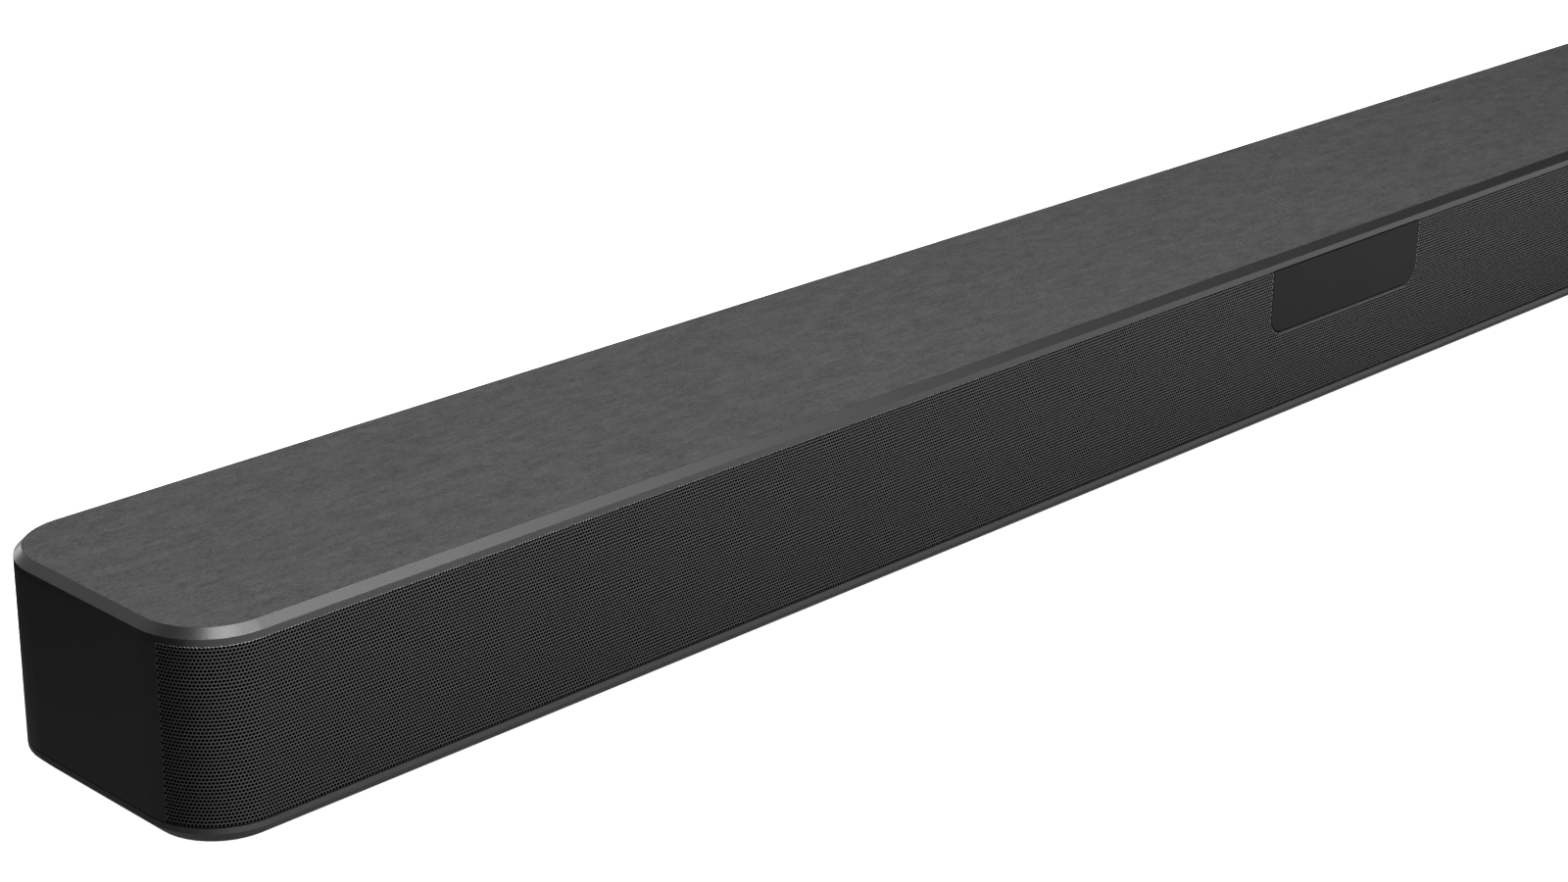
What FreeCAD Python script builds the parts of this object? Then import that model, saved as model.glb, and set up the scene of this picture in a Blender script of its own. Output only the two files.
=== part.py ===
import FreeCAD
import Part
import math
import os

# Soundbar: a low, long loudspeaker bar that stands under a television.
#
# Millimetres, +Z up, the listener on the -Y side, +X to the listener's right. The origin is the centre of
# the bar on the surface that its feet stand on.
#
# The casing is a ring of walls between a bottom cover and a top cover. The front of the ring is a steel
# grille on a plastic frame and wraps both front corners; the rest is one rear cover with the connector bay.
# Inside are two sealed speaker boxes, each with a racetrack woofer and a dome tweeter. Between them are the
# main board and the display behind its window, and over the right box are the four buttons.
#
# Pieces that are fused run into each other by weld. Cutting tools run 1 mm past the face that they cut.

V = FreeCAD.Vector
ORIGIN = V(0, 0, 0)
X_AXIS, Y_AXIS, Z_AXIS = V(1, 0, 0), V(0, 1, 0), V(0, 0, 1)

# Overall sizes
length = 890.0
depth = 85.0
height = 57.0
corner_radius = 20.0

# Casing
wall = 2.6
weld = 0.5
foot_height = 1.4
top_bevel = 2.1
top_lip = 1.85
bottom_bevel = 3.7
bottom_lip = 1.55
seam = 0.3
tight_seam = 0.05
fit_gap = 0.05
rim_gap = 0.1
rim_thickness = 1.5
rim_reach = 3.0
plate_thickness = 1.7
inlay_thickness = 0.5
inlay_land = 0.15
vent_count = 15
vent_pitch = 7.0
vent_width = 2.4
vent_length = 26.0
vent_y = -3.0

# Grille
grille_thickness = 0.7
cloth_thickness = 0.25
grille_wrap = 14.5
frame_rail = 3.4
frame_post = 6.0

# Screws and posts
post_radius = 3.5
foot_post_radius = 4.8
screw_radius = 1.5
screw_slip = 0.2
screw_head_radius = 2.8
screw_head_height = 1.8
screw_recess = 4.0
screw_grip = 9.0
screw_room = 1.0
head_slip = 0.3
board_screw_grip = 5.0
small_screw_radius = 1.05
small_screw_grip = 4.0
small_head_radius = 2.2
small_head_height = 1.3
slot_width = 0.6
slot_depth = 0.5
end_post_inset = 12.0
end_post_inset_y = 27.5
mid_post_inset_y = 16.5
mid_post_gap = 14.0
post_step = 3.0

# Feet and wall bracket
foot_sink = 0.6
foot_length = 40.0
foot_width = 9.0
foot_inset_x = 62.0
foot_inset_y = 15.0
foot_clearance = 0.2
foot_round = 0.5
bracket_inset_x = 125.0
bracket_inset_y = 12.5
insert_radius = 2.8
insert_length = 6.0
insert_boss_wall = 2.0
insert_cap = 1.0
thread_radius = 1.65

# Speaker boxes
box_inner_end = 150.0
box_end_gap = 20.0
box_wall = 2.5
box_front_inset = 9.5
box_back_inset = 8.5
box_bottom = 8.6
box_top_gap = 7.2
lid_thickness = 2.5
lid_rib = 1.6
lid_rib_inset = 27.5
lid_rib_end = 4.0
ear_radius = 5.0
ear_reach = 6.0
ear_height = 3.0
inner_ear_y = -10.0
outer_ear_y = 0.0
ear_screw_gap = 0.6
ear_hole_gap = 0.2
box_rib_thickness = 2.4
box_rib_inset = 13.0
box_rib_end = 8.0

# Woofer, a racetrack driver
woofer_inset = 110.0
woofer_length = 100.0
woofer_width = 40.0
woofer_corner = 7.0
woofer_flange = 1.5
woofer_opening_length = 92.0
woofer_opening_width = 32.0
woofer_screw_inset = 4.2
surround_width = 5.0
surround_thickness = 0.5
surround_land = 1.8
basket_wall = 1.2
basket_depth = 15.0
basket_back_length = 52.0
basket_window_length = 14.0
basket_window_x = 37.0
basket_window_round = 3.0
basket_window_low = 3.0
basket_window_high = 4.0
basket_taper = 0.3
basket_join = 0.2
driver_slip = 0.3
driver_screw_reach = 6.5
terminal_x = 20.0
terminal_side = 3.0
cone_thickness = 0.7
cone_travel = 2.5
cone_rim = 1.0
cone_lap = 0.01
neck_arc = 80.0
neck_reach = 1.2
coil_radius = 10.2
coil_wall = 0.3
coil_winding = 0.35
winding_length = 5.2
coil_gap = 0.75
dust_cap_ball = 13.0
dust_cap_skin = 0.4
yoke_radius = 15.6
yoke_length = 12.0
yoke_floor = 3.0
pole_thickness = 3.5
pole_gap = 0.55
slug_inset = 0.4
spider_radius = 15.0
spider_thickness = 0.4
spider_wave = 0.5
spider_waves = 6
spider_rise = 3.8
spider_land = 2.0
spider_margin = 0.2
spider_clear = 0.6

# Tweeter, a soft dome
tweeter_inset = 40.0
tweeter_radius = 19.5
tweeter_plate_thickness = 2.5
tweeter_flare = 1.6
flare_past = 0.4
tweeter_screw_inset = 2.6
dome_radius = 9.5
dome_height = 4.2
dome_skin = 0.3
dome_roll = 1.3
dome_land = 0.9
dome_seat = 0.7
dome_recess = 1.2
dome_clearance = 0.3
dome_coil_length = 2.6
dome_coil_slot = 0.5
dome_coil_room = 1.0
tweeter_magnet_radius = 14.0
tweeter_magnet_length = 11.0

# Display
window_width = 78.0
window_height = 20.8
window_radius = 5.5
window_break = 0.2
display_board_width = 100.0
display_board_height = 24.0
display_standoff = 4.2
display_stud_radius = 3.0
display_stud_inset = 4.5
display_stud_drop = 2.0
display_stud_floor = 0.6
display_board_drop = 3.9
display_drop = 1.0
gasket_rim = 3.0
gasket_inset = 2.0
gasket_side_inset = 1.0
segments_left, segments_right = -28.0, 20.0
segments_height, segments_depth = 8.0, 3.4
receiver_x, receiver_width, receiver_height = 28.0, 6.0, 6.8
receiver_depth = 2.2
receiver_lens = 1.8
board_thickness = 1.6

# Buttons
button_inset = 95.0
button_y = 8.0
button_pitch = 17.0
button_radius = 5.0
button_proud = 0.25
button_edge = 0.35
button_flange = 1.4
button_flange_reach = 1.2
button_clearance = 0.2
button_travel = 0.5
stem_radius = 2.0
stem_length = 1.3
plunger_radius = 1.6
plunger_length = 1.4
plunger_gap = 0.1
switch_side = 6.0
switch_height = 3.4
button_board_length = 86.0
button_board_width = 20.0
button_post_radius = 2.6
button_post_inset = 4.5
notch_depth = 6.4
notch_side = 3.0

# Connector bay, sockets and main board
bay_width = 132.0
bay_height = 21.0
bay_bottom = 12.2
bay_depth = 18.0
bay_wall = 2.0
bay_chamfer = 0.8
board_length = 236.0
board_front_inset = 15.5
board_bottom = 12.0
board_gap = 0.5
standoff_radius = 3.0
standoff_inset = 6.0
socket_recess = 0.4
socket_clearance = 0.3
power_x, power_width, power_height = -49.0, 9.4, 11.2
optical_x, optical_side = -24.0, 9.8
data_x, data_width, data_height = 2.0, 14.6, 7.6
video_x, video_width, video_height, video_pitch = 28.0, 15.0, 6.2, 24.0
socket_depth = 14.0
shell_wall = 0.6
mouth_depth = 10.0
mouth_slant = 2.0
video_tongue_width, video_tongue_thickness = 10.4, 1.1
video_tongue_recess = 1.2
data_mouth_width, data_mouth_height, data_mouth_depth = 12.6, 5.2, 12.0
data_tongue_width, data_tongue_thickness = 11.2, 1.8
data_tongue_recess, data_tongue_rise = 2.0, 0.2
power_mouth_radius, power_pin_radius = 3.2, 1.0
power_pin_recess = 1.0
optical_mouth = 7.6
optical_depth = 11.5
optical_lens_radius, optical_lens_length = 1.4, 1.1
optical_lens_drop = 1.2
shutter_thickness = 0.8
shutter_pin_radius = 0.5
shutter_pin_gap = 0.06
shutter_pin_reach = 0.6
shutter_sink = 1.4
shutter_drop = 0.9
shutter_side_gap = 0.15
shutter_end_gap = 0.2

# What stands on the main board
heatsink_x, heatsink_length, heatsink_width = -69.0, 54.0, 24.0
heatsink_height = 18.0
heatsink_inset = 15.0
heatsink_base = 3.0
heatsink_foot = 4.0
fin_count = 9
fin_thickness = 1.4
chip_gap = 0.6
amplifier_chip_side, amplifier_chip_height = 14.0, 2.4
main_chip_x, main_chip_side, main_chip_height = -10.0, 15.0, 1.6
memory_chip_x, memory_chip_side, memory_chip_height = 16.0, 11.0, 1.2
capacitor_count, capacitor_x, capacitor_pitch = 4, 34.0, 13.0
capacitor_inset, capacitor_radius, capacitor_height = 13.0, 5.0, 17.0
choke_count, choke_x, choke_pitch = 4, -32.0, 12.0
choke_inset, choke_side, choke_height, choke_round = 9.0, 9.0, 6.5, 2.0
header_x, header_length, header_width = 104.0, 8.0, 6.0
header_height = 6.0
radio_x, radio_side, radio_inset = 80.0, 18.0, 2.0
radio_card_thickness = 1.0
can_side, can_height, can_round = 13.0, 2.2, 1.0

# Leads and flat cables
lead_radius = 1.1
lead_bend = 3.3
lead_y = -5.0
lead_z = 24.0
ribbon_thickness = 0.3
display_ribbon_x = 16.0
display_ribbon_width = 12.0
display_ribbon_inset = 3.0
display_ribbon_reach = 4.5
display_ribbon_run = 12.0
display_ribbon_level = 7.0
display_ribbon_bend = 2.0
button_ribbon_x = 112.0
button_ribbon_width = 8.0
button_ribbon_reach = 1.6
button_ribbon_level = 9.0
button_ribbon_inset = 8.0
button_ribbon_bend = 0.8

# Levels and faces that follow from the sizes above
half_length = length / 2
front = -depth / 2
back = depth / 2
body_bottom = foot_height
ring_bottom = body_bottom + bottom_bevel + bottom_lip
ring_top = height - top_bevel - top_lip
floor_top = body_bottom + wall
plate_bottom = height - inlay_thickness - fit_gap - plate_thickness
rim_outer = wall + rim_gap
rim_inner = rim_outer + rim_thickness
seam_y = front + grille_wrap
cloth_inset = grille_thickness + fit_gap
frame_inset = cloth_inset + cloth_thickness + fit_gap
frame_back = front + wall
frame_low = ring_bottom + seam + frame_rail
frame_high = ring_top - frame_rail
end_post_x = half_length - end_post_inset
mid_post_x = box_inner_end - mid_post_gap
post_split = box_bottom + ear_height + post_step
bracket_x = half_length - bracket_inset_x
bracket_y = back - bracket_inset_y
insert_top = body_bottom + insert_length
box_outer_end = half_length - box_end_gap
box_front = front + box_front_inset
box_back = back - box_back_inset
box_top = height - box_top_gap
driver_z = (box_bottom + box_top) / 2
woofer_x = box_inner_end + woofer_inset
tweeter_x = box_outer_end - tweeter_inset
button_x = box_outer_end - button_inset
bulkhead = back - bay_depth
bay_top = bay_bottom + bay_height
board_front = front + board_front_inset
board_back = bulkhead - bay_wall - board_gap
board_top = board_bottom + board_thickness
socket_face = bulkhead - socket_recess
socket_back = socket_face - socket_depth
optical_z = board_top + optical_side / 2
shutter_z = optical_z + optical_mouth / 2 - shutter_drop
shutter_y = socket_face - shutter_sink
heatsink_y = board_front + heatsink_inset
display_board_y = frame_back + display_standoff
display_board_back = display_board_y + board_thickness
window_bottom = ring_top - seam - window_height
display_board_top = window_bottom + window_height - display_board_drop
display_board_bottom = display_board_top - display_board_height
display_z = window_bottom + window_height / 2 - display_drop
stem_bottom = plate_bottom - button_clearance - button_flange - stem_length
switch_top = stem_bottom - button_travel - plunger_gap
button_board_top = switch_top - switch_height
spider_z = spider_rise - basket_depth
neck_z = spider_z + spider_thickness + spider_wave + cone_travel + spider_clear
coil_top = neck_z + neck_reach
coil_bottom = -basket_depth - pole_thickness / 2 - winding_length / 2
gap_radius = coil_radius + coil_winding + coil_gap
cone_length = woofer_opening_length - 2 * surround_width
cone_width = woofer_opening_width - 2 * surround_width
dome_edge = dome_radius + 2 * dome_roll


def block(x0, x1, y0, y1, z0, z1):
    """A box between two corners."""
    return Part.makeBox(x1 - x0, y1 - y0, z1 - z0, V(x0, y0, z0))


def rod(radius, x, y, z0, z1):
    """An upright round bar."""
    return Part.makeCylinder(radius, z1 - z0, V(x, y, z0))


def bolt(radius, reach, x, y, z):
    """A round bar that runs back from a point."""
    return Part.makeCylinder(radius, reach, V(x, y, z), Y_AXIS)


def tube(outer, inner, z0, z1):
    """An upright tube on the Z axis."""
    return rod(outer, 0, 0, z0, z1).cut(rod(inner, 0, 0, z0 - 1, z1 + 1))


def fuse(shapes):
    """One shape from several, with no leftover seams."""
    first, *rest = shapes
    return first.multiFuse(rest).removeSplitter() if rest else first


def cut_all(shape, cutters):
    """A shape with several others taken out of it."""
    return shape.cut(Part.makeCompound(list(cutters)))


def rounded_wire(x_size, y_size, radius, z):
    """A rectangle with rounded corners, centred on the Z axis; a full radius makes a racetrack."""
    hx, hy = x_size / 2, y_size / 2
    r = min(radius, hx, hy)
    arcs = []
    for sx, sy, start in ((1, 1, 0), (-1, 1, 90), (-1, -1, 180), (1, -1, 270)):
        centre = V(sx * (hx - r), sy * (hy - r), z)
        arcs.append(Part.Edge(Part.Circle(centre, Z_AXIS, r), math.radians(start), math.radians(start + 90)))
    edges = list(arcs)
    for arc, following in zip(arcs, arcs[1:] + arcs[:1]):
        a, b = arc.valueAt(arc.LastParameter), following.valueAt(following.FirstParameter)
        if (b - a).Length > 1e-6:
            edges.append(Part.makeLine(a, b))
    return Part.Wire(Part.__sortEdges__(edges))


def rounded_block(x_size, y_size, radius, z0, z1, x=0.0, y=0.0):
    """An upright block with rounded corners, centred on a vertical line."""
    solid = Part.Face(rounded_wire(x_size, y_size, radius, z0)).extrude(V(0, 0, z1 - z0))
    solid.translate(V(x, y, 0))
    return solid


def body_block(inset, z0, z1):
    """The bar's outline, drawn in by inset, as an upright block."""
    return rounded_block(length - 2 * inset, depth - 2 * inset, corner_radius - inset, z0, z1)


def ring(outer_inset, inner_inset, z0, z1):
    """A wall that follows the bar's outline."""
    return body_block(outer_inset, z0, z1).cut(body_block(inner_inset, z0 - 1, z1 + 1))


def face_front(shape, x, y, z):
    """Turns a shape drawn looking up +Z to look out of the front, and puts its origin at a point."""
    turned = shape.copy()
    turned.rotate(ORIGIN, X_AXIS, 90)
    turned.translate(V(x, y, z))
    return turned


def loft(lower, upper):
    """A straight-sided solid between two wires with as many edges each."""
    return Part.makeLoft([lower, upper], True, True)


def spun(edges_or_points):
    """A solid turned about the Z axis from a closed outline in the XZ plane."""
    first = edges_or_points[0]
    wire = Part.Wire(edges_or_points) if isinstance(first, Part.Shape) else Part.makePolygon(edges_or_points)
    return Part.Face(wire).revolve(ORIGIN, Z_AXIS, 360)


def level_edges(shape, z):
    """The edges of a shape that lie in one level plane."""
    return [e for e in shape.Edges if abs(e.BoundBox.ZMin - z) < 1e-4 and abs(e.BoundBox.ZMax - z) < 1e-4]


def screw(radius, reach, head_radius, head_height):
    """A slotted screw on the Z axis: its shank runs down from the seat of its head at zero."""
    body = fuse([rod(radius, 0, 0, -reach, 0), rod(head_radius, 0, 0, 0, head_height)])
    half = head_radius * 0.7
    slots = [block(-half, half, -slot_width / 2, slot_width / 2, head_height - slot_depth, head_height + 1)]
    slots.append(block(-slot_width / 2, slot_width / 2, -half, half, head_height - slot_depth, head_height + 1))
    return cut_all(body, slots)


def screw_down(x, y, seat, reach):
    """A large screw driven down, with its head on a face at seat."""
    placed = screw(screw_radius, reach, screw_head_radius, screw_head_height)
    placed.translate(V(x, y, seat))
    return placed


def small_screw_up(x, y, seat, reach):
    """A small screw driven up, with its head under a face at seat."""
    placed = screw(small_screw_radius, reach, small_head_radius, small_head_height)
    placed.rotate(ORIGIN, X_AXIS, 180)
    placed.translate(V(x, y, seat))
    return placed


def case_post_places():
    """Where the eight posts stand that join the bottom cover to the top cover."""
    places = ((end_post_x, back - end_post_inset_y), (mid_post_x, back - mid_post_inset_y))
    return [(sx * x, sy * y) for sx in (-1, 1) for x, y in places for sy in (-1, 1)]


def ear_places(side):
    """Where one speaker box is screwed down: an ear at each end."""
    return [(side * (box_inner_end - ear_reach), inner_ear_y), (side * (box_outer_end + ear_reach), outer_ear_y)]


def board_posts():
    """The four corners where the main board is screwed down."""
    x = board_length / 2 - standoff_inset
    return [(sx * x, y) for sx in (-1, 1) for y in (board_front + standoff_inset, board_back - standoff_inset)]


def button_places():
    """The four buttons' centres, from left to right."""
    return [(button_x + (i - 1.5) * button_pitch, button_y) for i in range(4)]


def button_board_posts():
    """The two posts that carry the button board under the top cover."""
    x = button_board_length / 2 - button_post_inset
    return [(button_x + s * x, button_y) for s in (-1, 1)]


def foot_places():
    """The centres of the four rubber feet."""
    x, y = half_length - foot_inset_x, back - foot_inset_y
    return [(sx * x, sy * y) for sx in (-1, 1) for sy in (-1, 1)]


def display_stud_places():
    """The two studs that carry the display board, as (x, z)."""
    x = display_board_width / 2 - display_stud_inset
    return [(s * x, display_z - display_stud_drop) for s in (-1, 1)]


def woofer_screw_offsets():
    """The four screws at the corners of a woofer's flange, from its centre."""
    dx, dy = woofer_length / 2 - woofer_screw_inset, woofer_width / 2 - woofer_screw_inset
    return [(sx * dx, sy * dy) for sx in (-1, 1) for sy in (-1, 1)]


def tweeter_screw_offsets():
    """The two screws of a tweeter's plate, from its centre."""
    return [(s * (tweeter_radius - tweeter_screw_inset), 0) for s in (-1, 1)]


def driver_screws(side):
    """The drivers' screws in one speaker box, as (x, z, seat)."""
    plates = (
        (woofer_x, woofer_screw_offsets(), box_front - woofer_flange),
        (tweeter_x, tweeter_screw_offsets(), box_front - tweeter_plate_thickness),
    )
    return [(side * x + dx, driver_z + dz, seat) for x, offsets, seat in plates for dx, dz in offsets]


def button_holes(z0, z1):
    """The four round holes that the buttons stand in."""
    return [rod(button_radius + button_clearance, x, y, z0, z1) for x, y in button_places()]


def top_cover():
    """The top moulding: bevelled edge, skirt, hanging rim, screw posts and holes for the buttons."""
    shell = body_block(0, ring_top, height)
    shell = shell.makeChamfer(top_bevel, level_edges(shell, height))
    shell = shell.cut(body_block(wall, ring_top - 1, plate_bottom))
    shell = shell.cut(body_block(top_bevel + inlay_land, height - inlay_thickness - fit_gap, height + 1))
    pieces = [shell, ring(rim_outer, rim_inner, ring_top - rim_reach, plate_bottom)]
    pieces.append(ring(wall - weld, rim_inner, ring_top + weld, plate_bottom + weld))
    root = plate_bottom + weld
    holes = []
    for x, y in case_post_places():
        pieces.append(rod(post_radius, x, y, post_split, root))
        holes.append(rod(screw_radius + fit_gap, x, y, post_split - 1, post_split + screw_grip))
    hole_end = button_board_top + small_screw_grip + screw_room
    for x, y in button_board_posts():
        pieces.append(rod(button_post_radius, x, y, button_board_top, root))
        holes.append(rod(small_screw_radius + fit_gap, x, y, button_board_top - 1, hole_end))
    return cut_all(fuse(pieces), holes + button_holes(plate_bottom - 1, height))


def top_inlay():
    """The thin textile-look sheet laid into the top cover."""
    sheet = body_block(top_bevel + inlay_land + fit_gap, height - inlay_thickness, height)
    return cut_all(sheet, button_holes(height - 2, height + 1))


def bottom_cover():
    """The tray under the bar: bevelled edge, rim, floor with vents, posts and ribs for what stands on it."""
    shell = body_block(0, body_bottom, ring_bottom)
    shell = shell.makeChamfer(bottom_bevel, level_edges(shell, body_bottom))
    shell = shell.cut(body_block(rim_inner, floor_top, ring_bottom + 1))
    root = floor_top - weld
    pieces = [shell, ring(rim_outer, rim_inner, root, ring_bottom + rim_reach)]
    pieces += [rod(foot_post_radius, x, y, root, post_split) for x, y in case_post_places()]
    pieces += [rod(standoff_radius, x, y, root, board_bottom) for x, y in board_posts()]
    boss = insert_radius + insert_boss_wall
    pieces += [rod(boss, x, y, root, insert_top + insert_cap) for x, y in bracket_places()]
    for side in (-1, 1):
        pieces += [rod(standoff_radius, x, y, root, box_bottom) for x, y in ear_places(side)]
        pieces += box_ribs(side, root)
    cutters = []
    for x, y in case_post_places():
        cutters.append(rod(screw_head_radius + head_slip, x, y, body_bottom - 1, body_bottom + screw_recess))
        cutters.append(rod(screw_radius + screw_slip, x, y, body_bottom, post_split + 1))
    thread = screw_radius + fit_gap
    hole_end = board_bottom - board_screw_grip - screw_room
    cutters += [rod(thread, x, y, hole_end, board_bottom + 1) for x, y in board_posts()]
    for side in (-1, 1):
        cutters += [rod(thread, x, y, floor_top + ear_hole_gap, box_bottom + 1) for x, y in ear_places(side)]
    cutters += [rod(insert_radius + fit_gap, x, y, body_bottom - 1, insert_top) for x, y in bracket_places()]
    foot_size = (foot_length + 2 * foot_clearance, foot_width + 2 * foot_clearance, foot_width)
    cutters += [rounded_block(*foot_size, -1, body_bottom + foot_sink, x, y) for x, y in foot_places()]
    for i in range(vent_count):
        x = (i - (vent_count - 1) / 2) * vent_pitch
        slot = rounded_block(vent_width, vent_length, vent_width, body_bottom - 1, floor_top + 1, x, vent_y)
        cutters.append(slot)
    return cut_all(fuse(pieces), cutters)


def box_ribs(side, root):
    """The two ribs of the bottom cover that one speaker box rests on."""
    half = box_rib_thickness / 2
    y0, y1 = box_front + box_rib_end, box_back - box_rib_end
    middles = [side * x for x in (box_inner_end + box_rib_inset, box_outer_end - box_rib_inset)]
    return [block(x - half, x + half, y0, y1, root, box_bottom) for x in middles]


def bracket_places():
    """The two screw inserts for a wall bracket."""
    return [(side * bracket_x, bracket_y) for side in (-1, 1)]


def wall_mount_inserts():
    """Two brass inserts in the underside that take the wall bracket's screws."""
    inserts = []
    for x, y in bracket_places():
        insert = tube(insert_radius, thread_radius, body_bottom, insert_top)
        insert.translate(V(x, y, 0))
        inserts.append(insert)
    return Part.makeCompound(inserts)


def rubber_feet():
    """Four rounded pads let into the underside."""
    feet = []
    for x, y in foot_places():
        pad = rounded_block(foot_length, foot_width, foot_width, 0, body_bottom + foot_sink, x, y)
        feet.append(pad.makeFillet(foot_round, level_edges(pad, 0)))
    return Part.makeCompound(feet)


def front_part(outer_inset, inner_inset):
    """The stretch of the ring of walls in front of the seam beside the grille."""
    whole = ring(outer_inset, inner_inset, ring_bottom + seam, ring_top - tight_seam)
    return whole.common(block(-length, length, front - 1, seam_y, -1, height + 1))


def window_block(gap, y0, y1, z_top):
    """The display window's outline, grown by a gap, as a block from y0 to y1; its top corners are square."""
    tall = window_height + 2 * window_radius
    plate = rounded_block(window_width + 2 * gap, tall + 2 * gap, window_radius + gap, 0, y1 - y0)
    plate = face_front(plate, 0, y1, window_bottom + tall / 2)
    return plate.common(block(-window_width, window_width, y0 - 1, y1 + 1, 0, z_top))


def window_hole():
    """What the window takes out of the grille, the cloth and the frame."""
    return window_block(seam, front - 1, frame_back + 1, height)


def front_grille():
    """The steel sheet across the front and round both front corners, cut out for the window."""
    return front_part(0, grille_thickness).cut(window_hole())


def grille_cloth():
    """The thin black cloth bonded behind the steel sheet, which keeps dust out."""
    return front_part(cloth_inset, cloth_inset + cloth_thickness).cut(window_hole())


def grille_frame():
    """The plastic frame that the grille is bonded to, open in front of the drivers."""
    spans = (
        (display_board_width / 2 + frame_post, box_inner_end - frame_post / 2),
        (box_inner_end + frame_post / 2, woofer_x + woofer_length / 2 + frame_post),
        (woofer_x + woofer_length / 2 + 2 * frame_post, half_length - corner_radius),
    )
    cutters = [window_hole()]
    for side in (-1, 1):
        for x0, x1 in spans:
            a, b = sorted((side * x0, side * x1))
            cutters.append(block(a, b, front - 1, frame_back + 1, frame_low, frame_high))
    studs = []
    for x, z in display_stud_places():
        studs.append(bolt(display_stud_radius, display_standoff + weld, x, frame_back - weld, z))
        cutters.append(bolt(small_screw_radius + fit_gap, display_standoff, x, frame_back + display_stud_floor, z))
    return cut_all(fuse([front_part(frame_inset, wall)] + studs), cutters)


def socket_sizes():
    """Each socket's centre, width and height, from left to right seen from the front."""
    return (
        (power_x, power_width, power_height),
        (optical_x, optical_side, optical_side),
        (data_x, data_width, data_height),
        (video_x, video_width, video_height),
        (video_x + video_pitch, video_width, video_height),
    )


def rear_cover():
    """The walls at the back and both ends, in one moulding with the bay that the cables plug into."""
    whole = ring(0, wall, ring_bottom + seam, ring_top - tight_seam)
    walls = whole.common(block(-length, length, seam_y + seam, back + 1, -1, height + 1))
    half, t = bay_width / 2, bay_wall
    outside = block(-half - t, half + t, bulkhead - t, back - wall / 2, bay_bottom - t, bay_top + t)
    walls = fuse([walls, outside]).cut(block(-half, half, bulkhead, back + 1, bay_bottom, bay_top))
    walls = walls.makeChamfer(bay_chamfer, bay_mouth_edges(walls, half))
    g = socket_clearance
    z0, y0, y1 = board_top - g, bulkhead - t - 1, bulkhead + 1
    holes = [block(x - w / 2 - g, x + w / 2 + g, y0, y1, z0, board_top + h + g) for x, w, h in socket_sizes()]
    return cut_all(walls, holes)


def bay_mouth_edges(shape, half):
    """The four straight edges round the bay's mouth in the back face."""
    found = []
    for e in shape.Edges:
        b = e.BoundBox
        in_face = abs(b.YMin - back) < 1e-4 and abs(b.YMax - back) < 1e-4
        across = b.XMin > -half - 1 and b.XMax < half + 1
        upright = b.ZMin > bay_bottom - 1 and b.ZMax < bay_top + 1
        if in_face and across and upright:
            found.append(e)
    return found


def socket_shell(x, width, tall):
    """The plain outside of a socket that stands on the main board."""
    return block(x - width / 2, x + width / 2, socket_back, socket_face, board_top, board_top + tall)


def video_sockets():
    """Two video sockets: each a shell whose mouth narrows below, with a tongue inside."""
    sockets = []
    for x in (video_x, video_x + video_pitch):
        low, high = board_top + shell_wall, board_top + video_height - shell_wall
        half, slant = video_width / 2 - shell_wall, mouth_slant
        outline = [
            V(x - half + slant, 0, low),
            V(x + half - slant, 0, low),
            V(x + half, 0, low + slant),
            V(x + half, 0, high),
            V(x - half, 0, high),
            V(x - half, 0, low + slant),
        ]
        mouth = Part.Face(Part.makePolygon(outline + outline[:1])).extrude(V(0, mouth_depth + 1, 0))
        mouth.translate(V(0, socket_face - mouth_depth, 0))
        across, thick = video_tongue_width / 2, video_tongue_thickness
        y0, y1 = socket_face - mouth_depth - weld, socket_face - video_tongue_recess
        tongue = block(x - across, x + across, y0, y1, high - 2 * thick, high - thick)
        sockets.append(fuse([socket_shell(x, video_width, video_height).cut(mouth), tongue]))
    return Part.makeCompound(sockets)


def data_socket():
    """The data socket: a box with a tongue along its upper side."""
    mid, x, y0 = board_top + data_height / 2, data_x, socket_face - data_mouth_depth
    half, tall = data_mouth_width / 2, data_mouth_height / 2
    mouth = block(x - half, x + half, y0, socket_face + 1, mid - tall, mid + tall)
    half, z0 = data_tongue_width / 2, mid + data_tongue_rise
    y1 = socket_face - data_tongue_recess
    tongue = block(x - half, x + half, y0 - weld, y1, z0, z0 + data_tongue_thickness)
    return fuse([socket_shell(x, data_width, data_height).cut(mouth), tongue])


def power_socket():
    """The barrel socket for the adapter: a round mouth with a centre pin."""
    z = board_top + power_height / 2
    y = socket_face - mouth_depth
    mouth = bolt(power_mouth_radius, mouth_depth + 1, power_x, y, z)
    pin = bolt(power_pin_radius, mouth_depth + weld - power_pin_recess, power_x, y - weld, z)
    return fuse([socket_shell(power_x, power_width, power_height).cut(mouth), pin])


def optical_socket():
    """The light-pipe socket: a square throat with a lens boss at its end, and pin holes for the shutter."""
    half, x = optical_mouth / 2, optical_x
    y = socket_face - optical_depth
    throat = block(x - half, x + half, y, socket_face + 1, optical_z - half, optical_z + half)
    boss = bolt(optical_lens_radius, optical_lens_length + weld, x, y - weld, optical_z - optical_lens_drop)
    body = fuse([socket_shell(x, optical_side, optical_side).cut(throat), boss])
    reach = half + shutter_pin_reach + shutter_end_gap
    start = V(x - reach, shutter_y, shutter_z)
    return body.cut(Part.makeCylinder(shutter_pin_radius + shutter_pin_gap, 2 * reach, start, X_AXIS))


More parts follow.
